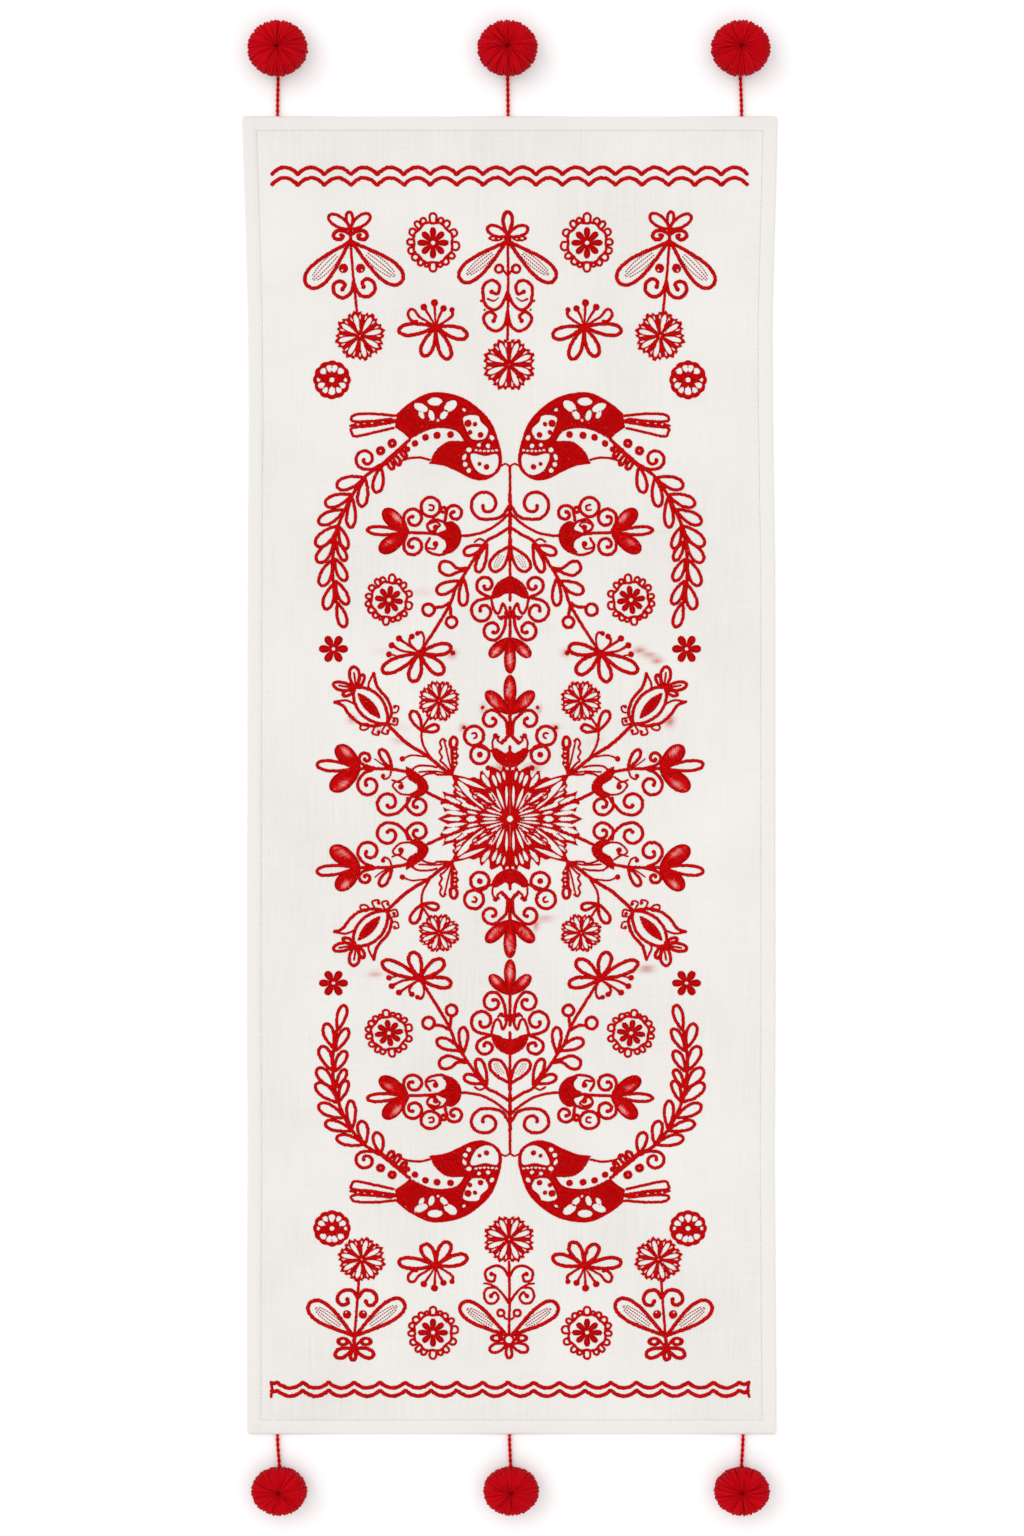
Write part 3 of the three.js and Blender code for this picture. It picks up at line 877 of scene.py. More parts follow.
def oval(middle, long, wide, turn=0.0, count=18):
    angle = np.linspace(0, 2 * math.pi, count, endpoint=False)
    c, s = math.cos(math.radians(turn)), math.sin(math.radians(turn))
    a, b = long / 2 * np.cos(angle), wide / 2 * np.sin(angle)
    return np.column_stack([middle[0] + a * c - b * s, middle[1] + a * s + b * c])


def dot(middle, radius):
    return fill(oval(middle, 2 * radius, 2 * radius), heading=30)


def ring(middle, radius, width=LINE):
    return outline(oval(middle, 2 * radius, 2 * radius, count=30), width)


def scroll(start, middle, radius, way, turns=1.15, inner=0.2, lead=(), width=LINE, end_dot=1.9):
    """A line that leaves its start and winds in round the middle. way 1 is counter-clockwise."""
    start = np.array(start, float)
    middle = np.array(middle, float)
    from_middle = (start if not lead else np.array(lead[-1], float)) - middle
    first = math.atan2(from_middle[1], from_middle[0]) + way * 0.7
    t = np.linspace(0, 1, 20)
    angle = first + way * 2 * math.pi * turns * t
    r = radius * (1.04 - (1.04 - inner) * t**2)
    wound = middle + np.column_stack([r * np.cos(angle), r * np.sin(angle)])
    points = np.vstack([start, *[np.array(p, float) for p in lead], wound])
    return line(points, width) + dot(wound[-1], end_dot)


def hooked(points, radius=2.8, width=TAPER):
    """A line that thickens to a dot at its far end."""
    return line(points, width) + dot(points[-1], radius)


def running(points, width=1.0):
    return [Mark("running", [curve(points)], width)]


def at(marks, out, up, turn=0.0, size=1.0):
    """A flower set down with its middle at that place. It keeps its shape in every quarter."""
    c, s = math.cos(math.radians(turn)) * size, math.sin(math.radians(turn)) * size
    spin = np.array([[c, s], [-s, c]])
    return [mark.copy(lambda path: path @ spin, (out, up), turn=turn) for mark in marks]


def anchored(marks, out, up):
    """Marks drawn in place that keep their shape in every quarter."""
    return [mark.copy(lambda path: path - (out, up), (out, up)) for mark in marks]


def in_quarter(marks, side, end, high=0.93):
    """The marks in one quarter of the cloth: side -1 is left, end 1 is the top. The lower half is lower.

    high is how tall a flower stands in the lower half, for one step in the upper half."""
    def land(points):
        out, up = np.array(points, float).T
        return np.column_stack([side * out, up if end > 0 else -np.interp(up, *LOWER_PLACES.T)])

    def land_round(spot):
        return lambda path: spot + path * (side, 1 if end > 0 else -high)

    placed = []
    for mark in marks:
        change = land if mark.anchor is None else land_round(land([mark.anchor])[0])
        placed.append(mark.copy(change, None, mirror=side * end))
    return placed


def petals_round(count, inner, outer, wide, first=90.0, filled=True, **shape):
    marks = []
    for k in range(count):
        turn = math.radians(first + 360 * k / count)
        base = (inner * math.cos(turn), inner * math.sin(turn))
        tip = (outer * math.cos(turn), outer * math.sin(turn))
        marks += full_petal(base, tip, wide, **shape) if filled else petal(base, tip, wide, **shape)
    return marks


# The loops round a ring rosette: place round the ring from its top in degrees, width and height
ROSETTE_LOOPS = [
    (0, 6, 9.2), (25, 5, 6.8), (41, 4.6, 7.4), (63, 5.5, 7.0), (88, 5, 6.4), (109, 5.4, 6.8), (128, 5.8, 6.6),
    (147, 5, 6.2), (163, 3.6, 4.6), (180, 6, 8.6), (199, 4.4, 5.2), (215, 5.6, 5.8), (236, 4.8, 6.4),
    (262, 7.2, 7.2), (295, 6, 7.0), (323, 5.2, 6.8), (340, 4.6, 6.2),
]
RING_STEPS_A_DEGREE = 0.36


def ring_rosette(tall=1.0):
    """Eight full petals, a wavy ring round them and open loops all round the ring."""
    petals = petals_round(4, 3, 15.4, 5.2, sharp=0.9, blunt=0.45)
    petals += petals_round(4, 3, 14.6, 5.2, first=45, sharp=0.9, blunt=0.45)
    marks = petals + fill(oval((0, 0), 12.5, 12.5), [oval((0, 0), 5, 5)], heading=20)
    angle = np.linspace(0, 2 * math.pi, 97)[:-1]
    r = 20.2 - 0.9 * np.cos(8 * angle)
    marks += outline(np.column_stack([r * np.cos(angle), tall * r * np.sin(angle)]), 2.8)
    for turn, wide, high in ROSETTE_LOOPS:
        middle = math.radians(90 - turn)
        spread = math.radians(wide / RING_STEPS_A_DEGREE / 2)
        t = np.linspace(0, math.pi, 9)
        around = middle + spread * np.cos(t) * (1 + 0.25 * np.sin(t))
        out = 20.0 + high * np.sin(t) ** 0.7
        loop = np.column_stack([out * np.cos(around), tall * out * np.sin(around)])
        marks += [Mark("line", [loop], 2.5)]
    return marks


# An eighth of a carnation: its edge as turns and reaches, and its slits as turns, starts, ends and widths
CARNATION_EDGE = (
    (0, 0.84), (4.5, 0.84), (9, 0.94), (13.5, 0.86), (22.5, 1.0), (31.5, 0.86), (36, 0.94), (40.5, 0.84),
)
CARNATION_SLITS = ((22.5, 0.16, 0.88, 0.2), (9, 0.62, 0.85, 0.075), (36, 0.62, 0.85, 0.075))


def carnation(radius):
    """A full flower with pointed tips, cut by eight long slits and two short ones beside each."""
    edge = []
    holes = [oval((0, 0), 1.6, 1.6)]
    for k in range(8):
        for turn, reach in CARNATION_EDGE:
            angle = math.radians(45 * k + turn)
            edge.append((reach * radius * math.cos(angle), reach * radius * math.sin(angle)))
        for turn, start, reach, wide in CARNATION_SLITS:
            angle = math.radians(45 * k + turn)
            along = np.array([math.cos(angle), math.sin(angle)]) * radius
            holes.append(drop(along * start, along * reach, wide * radius, sharp=1.2, blunt=0.6, count=9))
    edge = np.array(edge)
    return fill(edge, holes, heading=50) + outline(edge, 1.7)


def small_rosette():
    """Six full petals round a white eye, with open drops between them, inside a scalloped edge."""
    angle = np.linspace(0, 2 * math.pi, 73)[:-1]
    r = 16.7 + 1.2 * np.abs(np.cos(6 * angle))
    edge = np.column_stack([r * np.cos(angle), 1.04 * r * np.sin(angle)])
    holes = [oval((0, 0), 5.2, 5.2)]
    for turn, start, wide in (
        (77, 7.5, 6.2), (103, 7.5, 6.2), (45, 8.5, 7), (135, 8.5, 7), (0, 11.5, 4.4), (180, 11.5, 4.4),
        (270, 6, 7), (333, 7.5, 6.2), (207, 7.5, 6.2), (303, 8.5, 5.8), (237, 8.5, 5.8),
    ):
        spot = np.array([math.cos(math.radians(turn)), math.sin(math.radians(turn))])
        holes.append(drop(spot * start, spot * 15.3, wide, sharp=0.9, blunt=0.5, count=8))
    return fill(edge, holes, heading=60) + outline(edge, 2)


def six_petals():
    marks = petals_round(6, 2.6, 13.8, 6.4, first=0, sharp=0.8, blunt=0.45)
    return marks + fill(oval((0, 0), 9.6, 9.6), [oval((0, 0), 3.8, 3.8)], heading=15)


def spray_flower_up(short):
    """A flower of two long petals, two lower ones and a few threads. short 1 is a full lower petal."""
    marks = []
    for tip in ((37, -4), (-31, -9), (12.5, -29 * short), (-12.5, -32 * short)):
        marks += petal((0, 0), tip, 11.5, BOLD)
    hook = [(0, 0), (10, 6), (17, 10.5), (21.5, 16.5), (26, 17), (28, 12), (24, 6), (18.5, 5.5)]
    marks += line(hook, (2.4, 3.4))
    marks += hooked([(0, 0), (6, 10), (12.2, 19.7)], 3.3) + hooked([(0, 0), (1, 12), (1.5, 24)], 3.6)
    marks += hooked([(0, 0), (-3, 10), (-7.5, 18.3)], 3.2)
    marks += hooked([(0, 0), (-10, 6), (-16.5, 11.5), (-16, 17)], 2.6, (2.2, 3.4))
    return marks + dot((0, 0), 3.6)


def spray_flower_side():
    """A flower of four open petals that leans to one side, with a few threads."""
    marks = []
    for tip, wide in (((-31, 5.5), 11), ((37.5, -18), 12.5), ((7.4, -28.5), 12), ((-23, -20), 12.5)):
        marks += petal((0, 0), tip, wide, BOLD)
    marks += hooked([(0, 0), (10, 6.5), (21, 14.5)], 3.1) + hooked([(0, 0), (16.8, 1.8), (28.3, 7.6)], 3.1)
    marks += hooked([(21, -3.5), (27, -2), (31, -1.4)], 2.9, (1.2, 2.2))
    marks += hooked([(0, 0), (9, 8), (10.5, 13.5), (8.1, 16.4)], 2.8)
    marks += hooked([(0, 0), (-3, 7), (-4, 15), (-1.5, 20.5), (2.5, 19.5)], 2.4, (1.2, 3.2))
    return marks + dot((0, 0), 3.6)


def wing(base, tip, wide=21):
    """A big drop with rows of running stitches inside."""
    marks = petal(base, tip, wide, BOLD, sharp=1.3, blunt=0.45)
    base = np.array(base, float)
    axis = np.array(tip, float) - base
    side = np.array([-axis[1], axis[0]]) / np.linalg.norm(axis)
    for share in (-1, -0.34, 0.34, 1):
        t = np.linspace(0.3 + 0.04 * abs(share), 0.9 - 0.07 * abs(share), 6)
        swell = share * (wide / 2 - 5) * np.sin(math.pi * np.clip((t - 0.12) / 0.86, 0, 1)) ** 0.8
        marks += running(base + axis * t[:, None] + side * swell[:, None])
    return marks


def notched_dot(middle, radius, notch):
    hole = oval((middle[0] + notch, middle[1] - 2), 2.2, 2.2)
    return fill(oval(middle, 2 * radius, 2 * radius), [hole], heading=30)


def winding(points, width=LINE):
    """A scroll drawn by the points that it passes, with a dot at its inner end."""
    return line(points, width) + dot(points[-1], 2.2)


def top_sprig():
    """The winged bud of the top row, from the knot where its wings meet."""
    marks = petal((0, 13), (1.5, 29), 6.5, 3.3, sharp=0.8)
    marks += petal((0, 12), (21.4, 25), 10.5, 3.3, sharp=0.8)
    marks += petal((0, 12), (-19, 26), 10.5, 3.3, sharp=0.8) + line([(0, 13), (0, 0)], 3.6)
    for side in (1, -1):
        curl = [(0, 6), (7, 10), (14, 9.5), (17, 5.5), (14, 1.5), (9, 2), (7.5, 5), (10.5, 6.2)]
        marks += line(mirrored(curl, side), BOLD)
        marks += notched_dot((8.5 * side - 1.5, -27.5), 4.6, 1.2 * side)
    marks += wing((0, 0), (43, -45)) + wing((0, 0), (-51, -41))
    marks += line([(0, 0), (-2, -26), (-6.5, -72)], 2.9)
    marks += winding([
        (-3, -42), (-1, -51), (5, -56.5), (12, -56), (17, -50), (15.5, -42.5), (9.5, -40.5), (5.5, -44),
        (8, -48.5)], BOLD)
    marks += winding([
        (-3, -40), (-6, -49), (-11, -55), (-18, -55.5), (-24, -50), (-23.5, -42.5), (-17.5, -38), (-12, -41),
        (-13, -46)], BOLD)
    return marks


def bottom_sprig():
    """The winged bud of the bottom row. Its wings lie flatter and its buds are full."""
    marks = wing((0, 0), (45, -33), 19) + wing((0, 0), (-49, -35), 19)
    marks += line([(0, 0), (-2, -24), (-4.5, -58)], 2.9) + line([(0, 0), (1, 14)], 4)
    marks += petal((1, 12), (1.5, 23.5), 5.5, BOLD)
    for side in (1, -1):
        marks += fill(oval((11.5 * side, 5), 13.4, 9.4), [oval((11.5 * side, 5), 4.8, 3.6)], heading=60)
        marks += petal((1, 12), (19 * side, 19), 9, BOLD)
        marks += line([(1, 12), (6 * side, 4)], 3)
        marks += notched_dot((8 * side - 0.5, -22), 4.2, 0.8 * side)
    marks += winding([
        (-3.5, -38), (1, -45), (8, -46.5), (15, -43), (17, -36), (12, -31.5), (7, -33), (7, -37)], BOLD)
    marks += winding([
        (-3.5, -38), (-9, -45.5), (-17, -45.5), (-22, -39.5), (-20, -32.5), (-14, -31), (-11.5, -35)], BOLD)
    return marks


def top_middle_sprig():
    """The bud on the middle line at the top, from the knot where its wings meet."""
    marks = petal((0, 4), (0, 27), 9, BOLD, sharp=0.9) + dot((0, 0), 3.8)
    marks += line([(0, 0), (-0.5, -40), (0, -101)], 2.9)
    for side in (1, -1):
        marks += petal((0, 3), (20 * side, 11), 10, 3.4, sharp=0.8)
        holes = [oval((14.5 * side, 0.5), 3.4, 2.2), oval((9 * side, 0.5), 2.8, 2)]
        marks += fill(oval((12 * side, 0.5), 15, 6), holes)
        marks += wing((0, -2), (47 * side, -41), 19) + ring((8.5 * side, -30), 3.9, 3)
        marks += line([(0, -37), (3 * side, -33), (5.5 * side, -30)], 2.6)
        upper_curl = [
            (0, -53), (6, -66), (14, -71), (22, -66), (24.5, -57), (24, -47), (16, -41.5), (8.5, -46),
            (10, -55), (16, -53)]
        lower_curl = [(0, -72), (3, -86), (11, -92), (20, -88), (24, -79), (18, -73), (12, -77), (14, -82)]
        marks += winding(mirrored(upper_curl, side)) + winding(mirrored(lower_curl, side))
        marks += line(mirrored([(9, -59), (14, -62), (20, -60)], side), (1.2, 2.4))
        marks += dot((26.5 * side, -62), 1.2) + dot((23 * side, -71), 1)
    return marks


def bottom_middle_sprig():
    """The bud on the middle line at the bottom. Its knot is an open ring and its wings lie flatter."""
    marks = ring((0, 0), 4.6, 2.6) + petal((0, 5), (0, 18.5), 6, 3.2, sharp=0.8)
    marks += line([(0, -5), (-0.5, -40), (0, -78)], 2.9)
    for side in (1, -1):
        marks += petal((3 * side, 5), (19 * side, 10.5), 8.5, 3.2, sharp=0.8)
        marks += fill(oval((12.5 * side, -1.5), 13.6, 8.4), [oval((13 * side, -1.5), 4.8, 3.4)], heading=30)
        marks += line([(4 * side, 1), (8 * side, 0)], 2.6)
        marks += wing((2 * side, -4), (48 * side, -35), 18) + ring((8.2 * side, -26.5), 3.3, 2.8)
        marks += line([(0, -20.5), (3.5 * side, -21), (5.5 * side, -24)], 2.2)
        branch = [(0, -36), (6, -45), (13, -52), (20, -55.5), (25, -56)]
        upper_curl = [
            (12, -52), (22, -51), (25, -44), (21.5, -37), (14.5, -36.5), (10.5, -42), (14, -47), (18, -43.5)]
        lower_curl = [
            (0, -62), (6, -71.5), (15, -73.5), (23.5, -68), (22, -59.5), (15.5, -58.5), (14, -64),
            (17.5, -65.5)]
        marks += line(mirrored(branch, side), (3.2, 2.2))
        marks += winding(mirrored(upper_curl, side), 2.8) + winding(mirrored(lower_curl, side), 3)
    return marks


def bird():
    """A bird that faces the middle line, with a white face, white shapes in its body and a double tail."""
    back_points = [(113, 404), (100, 415), (80, 425), (59, 424), (40, 416), (21, 398), (12, 376), (9, 358)]
    breast_points = [(13, 347), (25, 340), (38, 341), (52, 348), (66, 354), (80, 356)]
    back = curve(back_points)
    breast = curve(back_points[-1:] + breast_points)
    wing_top = curve([(80, 356), (75, 367), (63, 377), (46, 378)])
    belly = curve([(46, 378), (52, 386.5), (61, 390), (74, 390.5), (86, 387), (100, 379.5)])
    body = np.vstack([back, breast, wing_top, belly, curve([(100, 379.5), (107, 386), (115, 391.5)])])
    face = curve([
        (39.5, 361), (37, 365.5), (25, 363), (13, 364.5), (12, 353), (18, 345.5), (25, 344), (34, 349),
    ], closed=True)
    patch = curve([
        (47, 399), (42, 403.5), (32, 403), (29, 397), (22, 389.5), (25, 381), (33, 379), (40, 382),
    ], closed=True)
    holes = [face, patch]
    for long, wide, turn, x, y in (
        (15, 8.4, 0, 75, 417.3), (15, 8, 24, 89, 411.3), (15, 9.4, -38, 59.5, 412.8), (8.4, 5, 60, 88.5, 404),
        (11, 6, 75, 78.5, 403.4), (11, 6.4, 125, 66, 404.2), (3, 3, 0, 72, 398.5), (4, 3, 30, 46, 409),
        (6, 4.4, 60, 18, 381), (4, 4, 0, 31, 374), (4.6, 4.6, 0, 22, 373), (5.4, 5, 0, 41, 369),
        (7, 4, 110, 45.6, 362), (5, 5, 0, 44.8, 354.5), (5, 5, 0, 41.2, 348.5),
    ):
        holes.append(oval((x, y), long, wide, turn))
    for k in range(6):
        holes.append(oval((34 - 4.1 * k, 368.8 - 0.9 * math.sin(k * 0.6)), 3.4, 2.4))
    marks = fill(body, holes, heading=-38, tone=0.48)
    marks += line(back_points + breast_points, 2.2)
    for x, y, radius in (
        (42, 395.5, 3.6), (35, 394.7, 2.2), (40, 386.5, 2.3), (29.5, 384, 2.8), (30.5, 355, 1.9),
        (23.5, 352, 2.7), (95, 375.4, 3.3), (84.5, 381.5, 3.4), (73, 383.5, 3.6), (59.5, 384.3, 3.4),
        (102.5, 369.5, 2.8),
    ):
        marks += dot((x, y), radius)
    marks += line([(111, 357), (103, 360), (91, 361.3), (80, 359)], 2.6)
    marks += line([
        (114, 403), (135, 405), (153, 404.5), (158.5, 401), (156, 397.5), (138, 397.8), (118, 400)], 3)
    marks += line([
        (116, 391), (135, 386.5), (154, 382.5), (158, 386), (157.5, 391), (138, 393), (118, 397)], 3)
    bar = drop((112, 398), (161, 393), 5.6, sharp=0.25, blunt=0.4)
    holes = [oval(spot, 2.6, 2) for spot in ((127, 396.7), (138, 396), (145.5, 395.3), (152, 394.7))]
    marks += fill(bar, holes, 5)
    return anchored(marks, 65, 385)


def leaf_spray():
    """The long curved branch that hangs from a bird's tail."""
    marks = line([(100, 379.5), (114, 367), (130, 353), (145, 342), (158, 323), (169, 300), (174.5, 282),
                  (177, 262), (177, 241), (173.5, 216)], 3.6)
    marks += line([(104, 374), (118, 362), (128, 353)], 4)
    for base, tip, wide in (
        ((110, 370), (104, 362), 4), ((117, 365), (110, 354), 5), ((123, 360), (117, 350), 5),
        ((129, 352), (133.5, 326.5), 10), ((145, 341), (148.5, 312.5), 10), ((158, 321), (159.3, 291.5), 9),
        ((170.7, 292), (163.4, 270.5), 8), ((173.4, 277), (164.6, 258.5), 7), ((175, 260), (164.6, 238.5), 9),
        ((174.5, 238), (162.8, 215), 9), ((172.3, 216), (165.5, 192), 9),
        ((146, 341), (173, 332.5), 12), ((158, 324), (184.5, 314.5), 11.5), ((166, 309), (191, 296), 11.5),
        ((172, 293), (193.5, 273.5), 12), ((176.5, 278), (192, 257), 11.5), ((178, 259), (188.5, 233.5), 11),
        ((177, 234.5), (184, 210), 10),
    ):
        marks += petal(base, tip, wide, sharp=0.95)
    for middle in ((117.8, 375.5), (129.4, 368.1)):
        marks += fill(oval(middle, 9.4, 9.4), [oval(middle, 2, 2)], heading=25)
    marks += scroll((130, 354), (144.5, 359.5), 9.4, 1, 1.2, lead=[(137, 350)])
    return marks


def centre_column():
    """What stands on the middle line, half of it. The other half is its mirror."""
    marks = scroll((1, 313), (24.5, 314), 14, 1, 1.15, lead=[(8, 303), (18, 299.8)])
    marks += line([(0, 306), (11, 296), (26, 287), (42, 283.4), (49, 283.2)], 3)
    marks += line([(0, 292), (12, 284), (24.4, 276.6), (41.7, 251), (47, 242), (54, 231.4), (60.3, 214),
                   (72.6, 193), (83, 177), (89, 168)])
    marks += line([(24, 277), (30, 280), (35.5, 277)], FINE)
    marks += petal((25, 273), (46, 266), 9) + petal((23, 275), (32.4, 247), 9)
    marks += line([
        (42, 251), (52, 250.5), (60, 256.5), (68, 257), (70.5, 249), (62, 243.5), (50, 247.5), (43, 249)])
    marks += petal((48, 238), (73, 227), 11) + petal((46.7, 241), (46.7, 213.5), 9)
    marks += ring((81.5, 209.2), 5.8) + line([(76, 211.5), (68, 212), (60.5, 216)])
    marks += ring((58.4, 196.8), 5.4) + line([(58.6, 202), (60, 213)])
    marks += petal((0, 273), (18, 248.5), 14)
    for share in (-2.5, 0.0, 2.5):
        row = [(8 + share, 264 + share * 0.4), (12.5 + share, 256), (14.5 + share * 0.6, 251)]
        marks += running(row, 0.6)
    dome = np.vstack([curve([(0, 243.5), (11, 237.5), (17, 229), (19.5, 219.5)]),
                      curve([(19.5, 219.5), (11, 221.5), (6, 224.5), (0, 226)])])
    marks += fill(dome, heading=-55)
    marks += line([
        (19, 221), (16.8, 211.6), (13.5, 205.5), (10, 207.5), (7.2, 215.4), (3.4, 208), (2.6, 201)], 3)
    marks += line([(12, 203), (9, 200), (6.5, 203)], FINE) + dot((8.4, 201), 2.2)
    marks += scroll((19, 221.5), (24.4, 233.5), 8.6, 1, 1.0, lead=[(27, 224.6)])
    marks += scroll((19, 221.5), (27.5, 207.9), 11, -1, 1.2)
    marks += scroll((4, 207), (17, 188.6), 9.3, 1, 1.05, lead=[(5, 194), (9, 184)])
    marks += full_petal((1, 181), (20, 162.5), 11.5, glow=((13.5, 167), 7, -45))
    marks += full_petal((1, 105), (23.5, 127), 13, glow=((15.5, 118), 8, 45))
    marks += scroll((2.3, 84), (18.3, 99.2), 9.3, -1, 1.05, lead=[(3.7, 97.3)])
    marks += ring((36, 83.2), 9.6) + line([(37, 73.5), (28, 71.5), (20, 68)])
    marks += line([(38, 85.5), (34.5, 85.8), (33.5, 82.5), (36, 80.5)], FINE)
    marks += ring((30.2, 64.3), 9.2) + dot((30.2, 64.3), 2.9)
    marks += line([(0, 86), (4, 80.5), (9, 75.5)], 4) + line([(9, 75.5), (12.5, 79), (11, 82.5)], FINE)
    marks += line([(16.8, 68), (17.5, 77), (15, 83)], 2.2) + dot((14.6, 83), 2.6)
    cup = np.vstack([curve([(19.5, 68), (14, 58.5), (7, 53), (0, 51.2)]),
                     curve([(0, 70), (4, 66), (9, 68), (14, 71), (19.5, 69)])])
    marks += fill(cup, heading=55)
    return marks


def middle_line():
    """What lies on the pattern's middle line and has no twin beside it."""
    marks = line([(0, 353), (0, 330), (0, 218)], 3) + line([(0, 325), (0, 305), (0, 285)], 4)
    marks += line([(0, 280), (0, 262)], 4.5) + line([(0, 243), (0, 219)], 3.2)
    marks += line([(0, 212), (0, 180)], 3.4)
    marks += full_petal((0, 181), (0, 146), 11, glow=((0.8, 159), 9, 90))
    marks += full_petal((0, 105), (0, 143.5), 12, glow=((0.8, 130), 9, 90))
    marks += line([(0, 107), (0, 84)], 4)
    marks += line([(0, 73), (0, 57)], 3.2) + line([(0, 53), (0, 30)], 3)
    return marks


def side_tulip():
    """The bud that lies on its side under a bird, with its open curls."""
    dome = np.vstack([
        curve([(67, 296), (58, 297.5), (51, 292), (48.5, 283), (51, 273.5), (59, 266), (68, 266.5)]),
        curve([(68, 266.5), (64, 272), (65, 278), (70, 281.5)]),
        curve([(70, 281.5), (74, 285), (69, 287.5)]), curve([(69, 287.5), (64, 290), (67, 296)]),
    ])
    marks = fill(dome, heading=10, tone=0.47)
    marks += line([(65, 296.5), (76, 299.5), (82.5, 294), (80, 288), (74, 288)], 3)
    marks += line([(62, 266.5), (70, 264), (81, 266.7), (84, 273), (80, 281)], 3)
    marks += line([(81, 295), (74, 297), (70, 294), (73, 291)], FINE) + dot((74.3, 291.5), 2.8)
    marks += line([(82, 271), (76, 270), (73, 273)], FINE) + dot((74.5, 275), 2.8)
    marks += line([(58, 282.5), (80, 285.5), (104, 286.3)], 3.4)
    marks += full_petal((103, 286), (126, 309), 15.5, glow=((113, 301), 8, 48))
    marks += full_petal((103, 286), (130, 267.5), 15.5, glow=((119, 276.5), 7, -35))
    marks += petal((104, 286.5), (142.5, 289), 8)
    marks += ring((79.4, 311.9), 9.6) + line([(81, 309), (77, 309), (76.5, 313), (80.5, 314)], FINE)
    marks += scroll((102, 288), (96.8, 300.4), 9.2, 1, 1.15, lead=[(106, 297)])
    marks += scroll((103, 284), (96.8, 273.5), 9.2, -1, 1.15, lead=[(106, 277)])
    marks += scroll((65, 298), (55.6, 305.5), 7.8, 1, 1.1, lead=[(64, 304)])
    marks += ring((66.5, 309), 2.6)
    return marks


def big_tulip():
    """The slanting tulip beside the star, with its stem."""
    marks = fill(drop((129.5, 100.5), (152.5, 126), 10.5, sharp=0.9, blunt=0.9), heading=10)
    marks += outline(drop((123, 95.5), (155.5, 131), 25, sharp=0.8, blunt=0.75))
    marks += line([(123, 95.5), (118.5, 106), (122.5, 119.5), (132.5, 132), (136.5, 146)])
    marks += line([(136.5, 146), (141.5, 134), (138.5, 127.5)], 2.4)
    marks += line([(123, 95.5), (136, 93), (149.5, 95.5), (159.5, 103), (167.5, 113.5), (176, 117)])
    marks += line([(176, 117), (164, 118.5), (153.5, 114)], 2.4)
    for base, tip, wide in (
        ((154, 131), (156.5, 152), 10), ((152, 131), (146.5, 144), 5), ((155, 130), (176.5, 134.5), 8),
        ((155, 129), (167, 124), 5),
    ):
        marks += petal(base, tip, wide, sharp=0.8)
    marks += line([(154, 133), (156, 146)], FINE) + line([(157, 131), (171, 133.5)], FINE)
    marks += line([(119, 106), (113, 107), (111.5, 112), (115.5, 113.5)], 2) + dot((115.3, 112), 1.6)
    marks += line([(122, 96), (114, 94), (112.5, 100), (117, 101)], 2.2) + dot((116, 98), 1.8)
    marks += outline(oval((145.5, 92), 9, 6, -20), 2.2)
    marks += line([(135, 93), (137.5, 86), (132, 84), (130.5, 88)], 2.2) + dot((131.6, 87), 1.6)
    marks += line([(124, 95), (128, 87), (123, 85), (121, 89)], 2.2) + dot((122.3, 88), 1.6)
    marks += line([(123, 95), (103.4, 76.2), (83.7, 63.6), (69.7, 52.4), (57.8, 44)], 3.9)
    marks += line([(80, 62), (87, 75), (88, 88.8), (80, 103)], 2.6)
    marks += petal((88, 88), (98, 107.5), 9) + petal((86.5, 88), (71.5, 91.8), 7)
    marks += hooked([(83.7, 62.2), (97.8, 63.6), (107.6, 60.1)], 2.7, 2)
    return marks


def lobed_leaves():
    """Two leaves with wavy edges where the tulip's stem meets the star."""
    marks = line([(57, 45), (61, 58), (66, 80)], 2) + line([(57, 45), (58.5, 62), (59, 80)], 2.2)
    marks += line([
        (58, 46), (66, 55), (69.5, 58), (68, 62), (70.5, 67), (68.5, 71), (70, 76), (67.5, 80),
        (64, 78)], 2.3)
    right = np.vstack([curve([(57, 45), (54, 52), (52, 56), (53.5, 59), (51, 63), (53, 67), (51.5, 71)]),
                       curve([(51.5, 71), (58, 73)]), curve([(58, 73), (58.5, 60), (57, 45)])])
    holes = [oval((55.2, y), 2.6, 2) for y in (67.5, 63, 58.5, 54)]
    marks += fill(right, holes, heading=20) + petal((57, 70), (56, 82), 7, sharp=0.6)
    marks += line([(58, 44.5), (72, 44.3), (76, 46), (83, 45), (90, 42.5), (98, 45), (99.5, 48)], 2.3)
    marks += line([(58, 45), (74, 47.5), (91, 47)], 2)
    marks += line([(99.5, 48), (92, 53), (80, 53), (73, 51.5)], 2.3)
    return marks


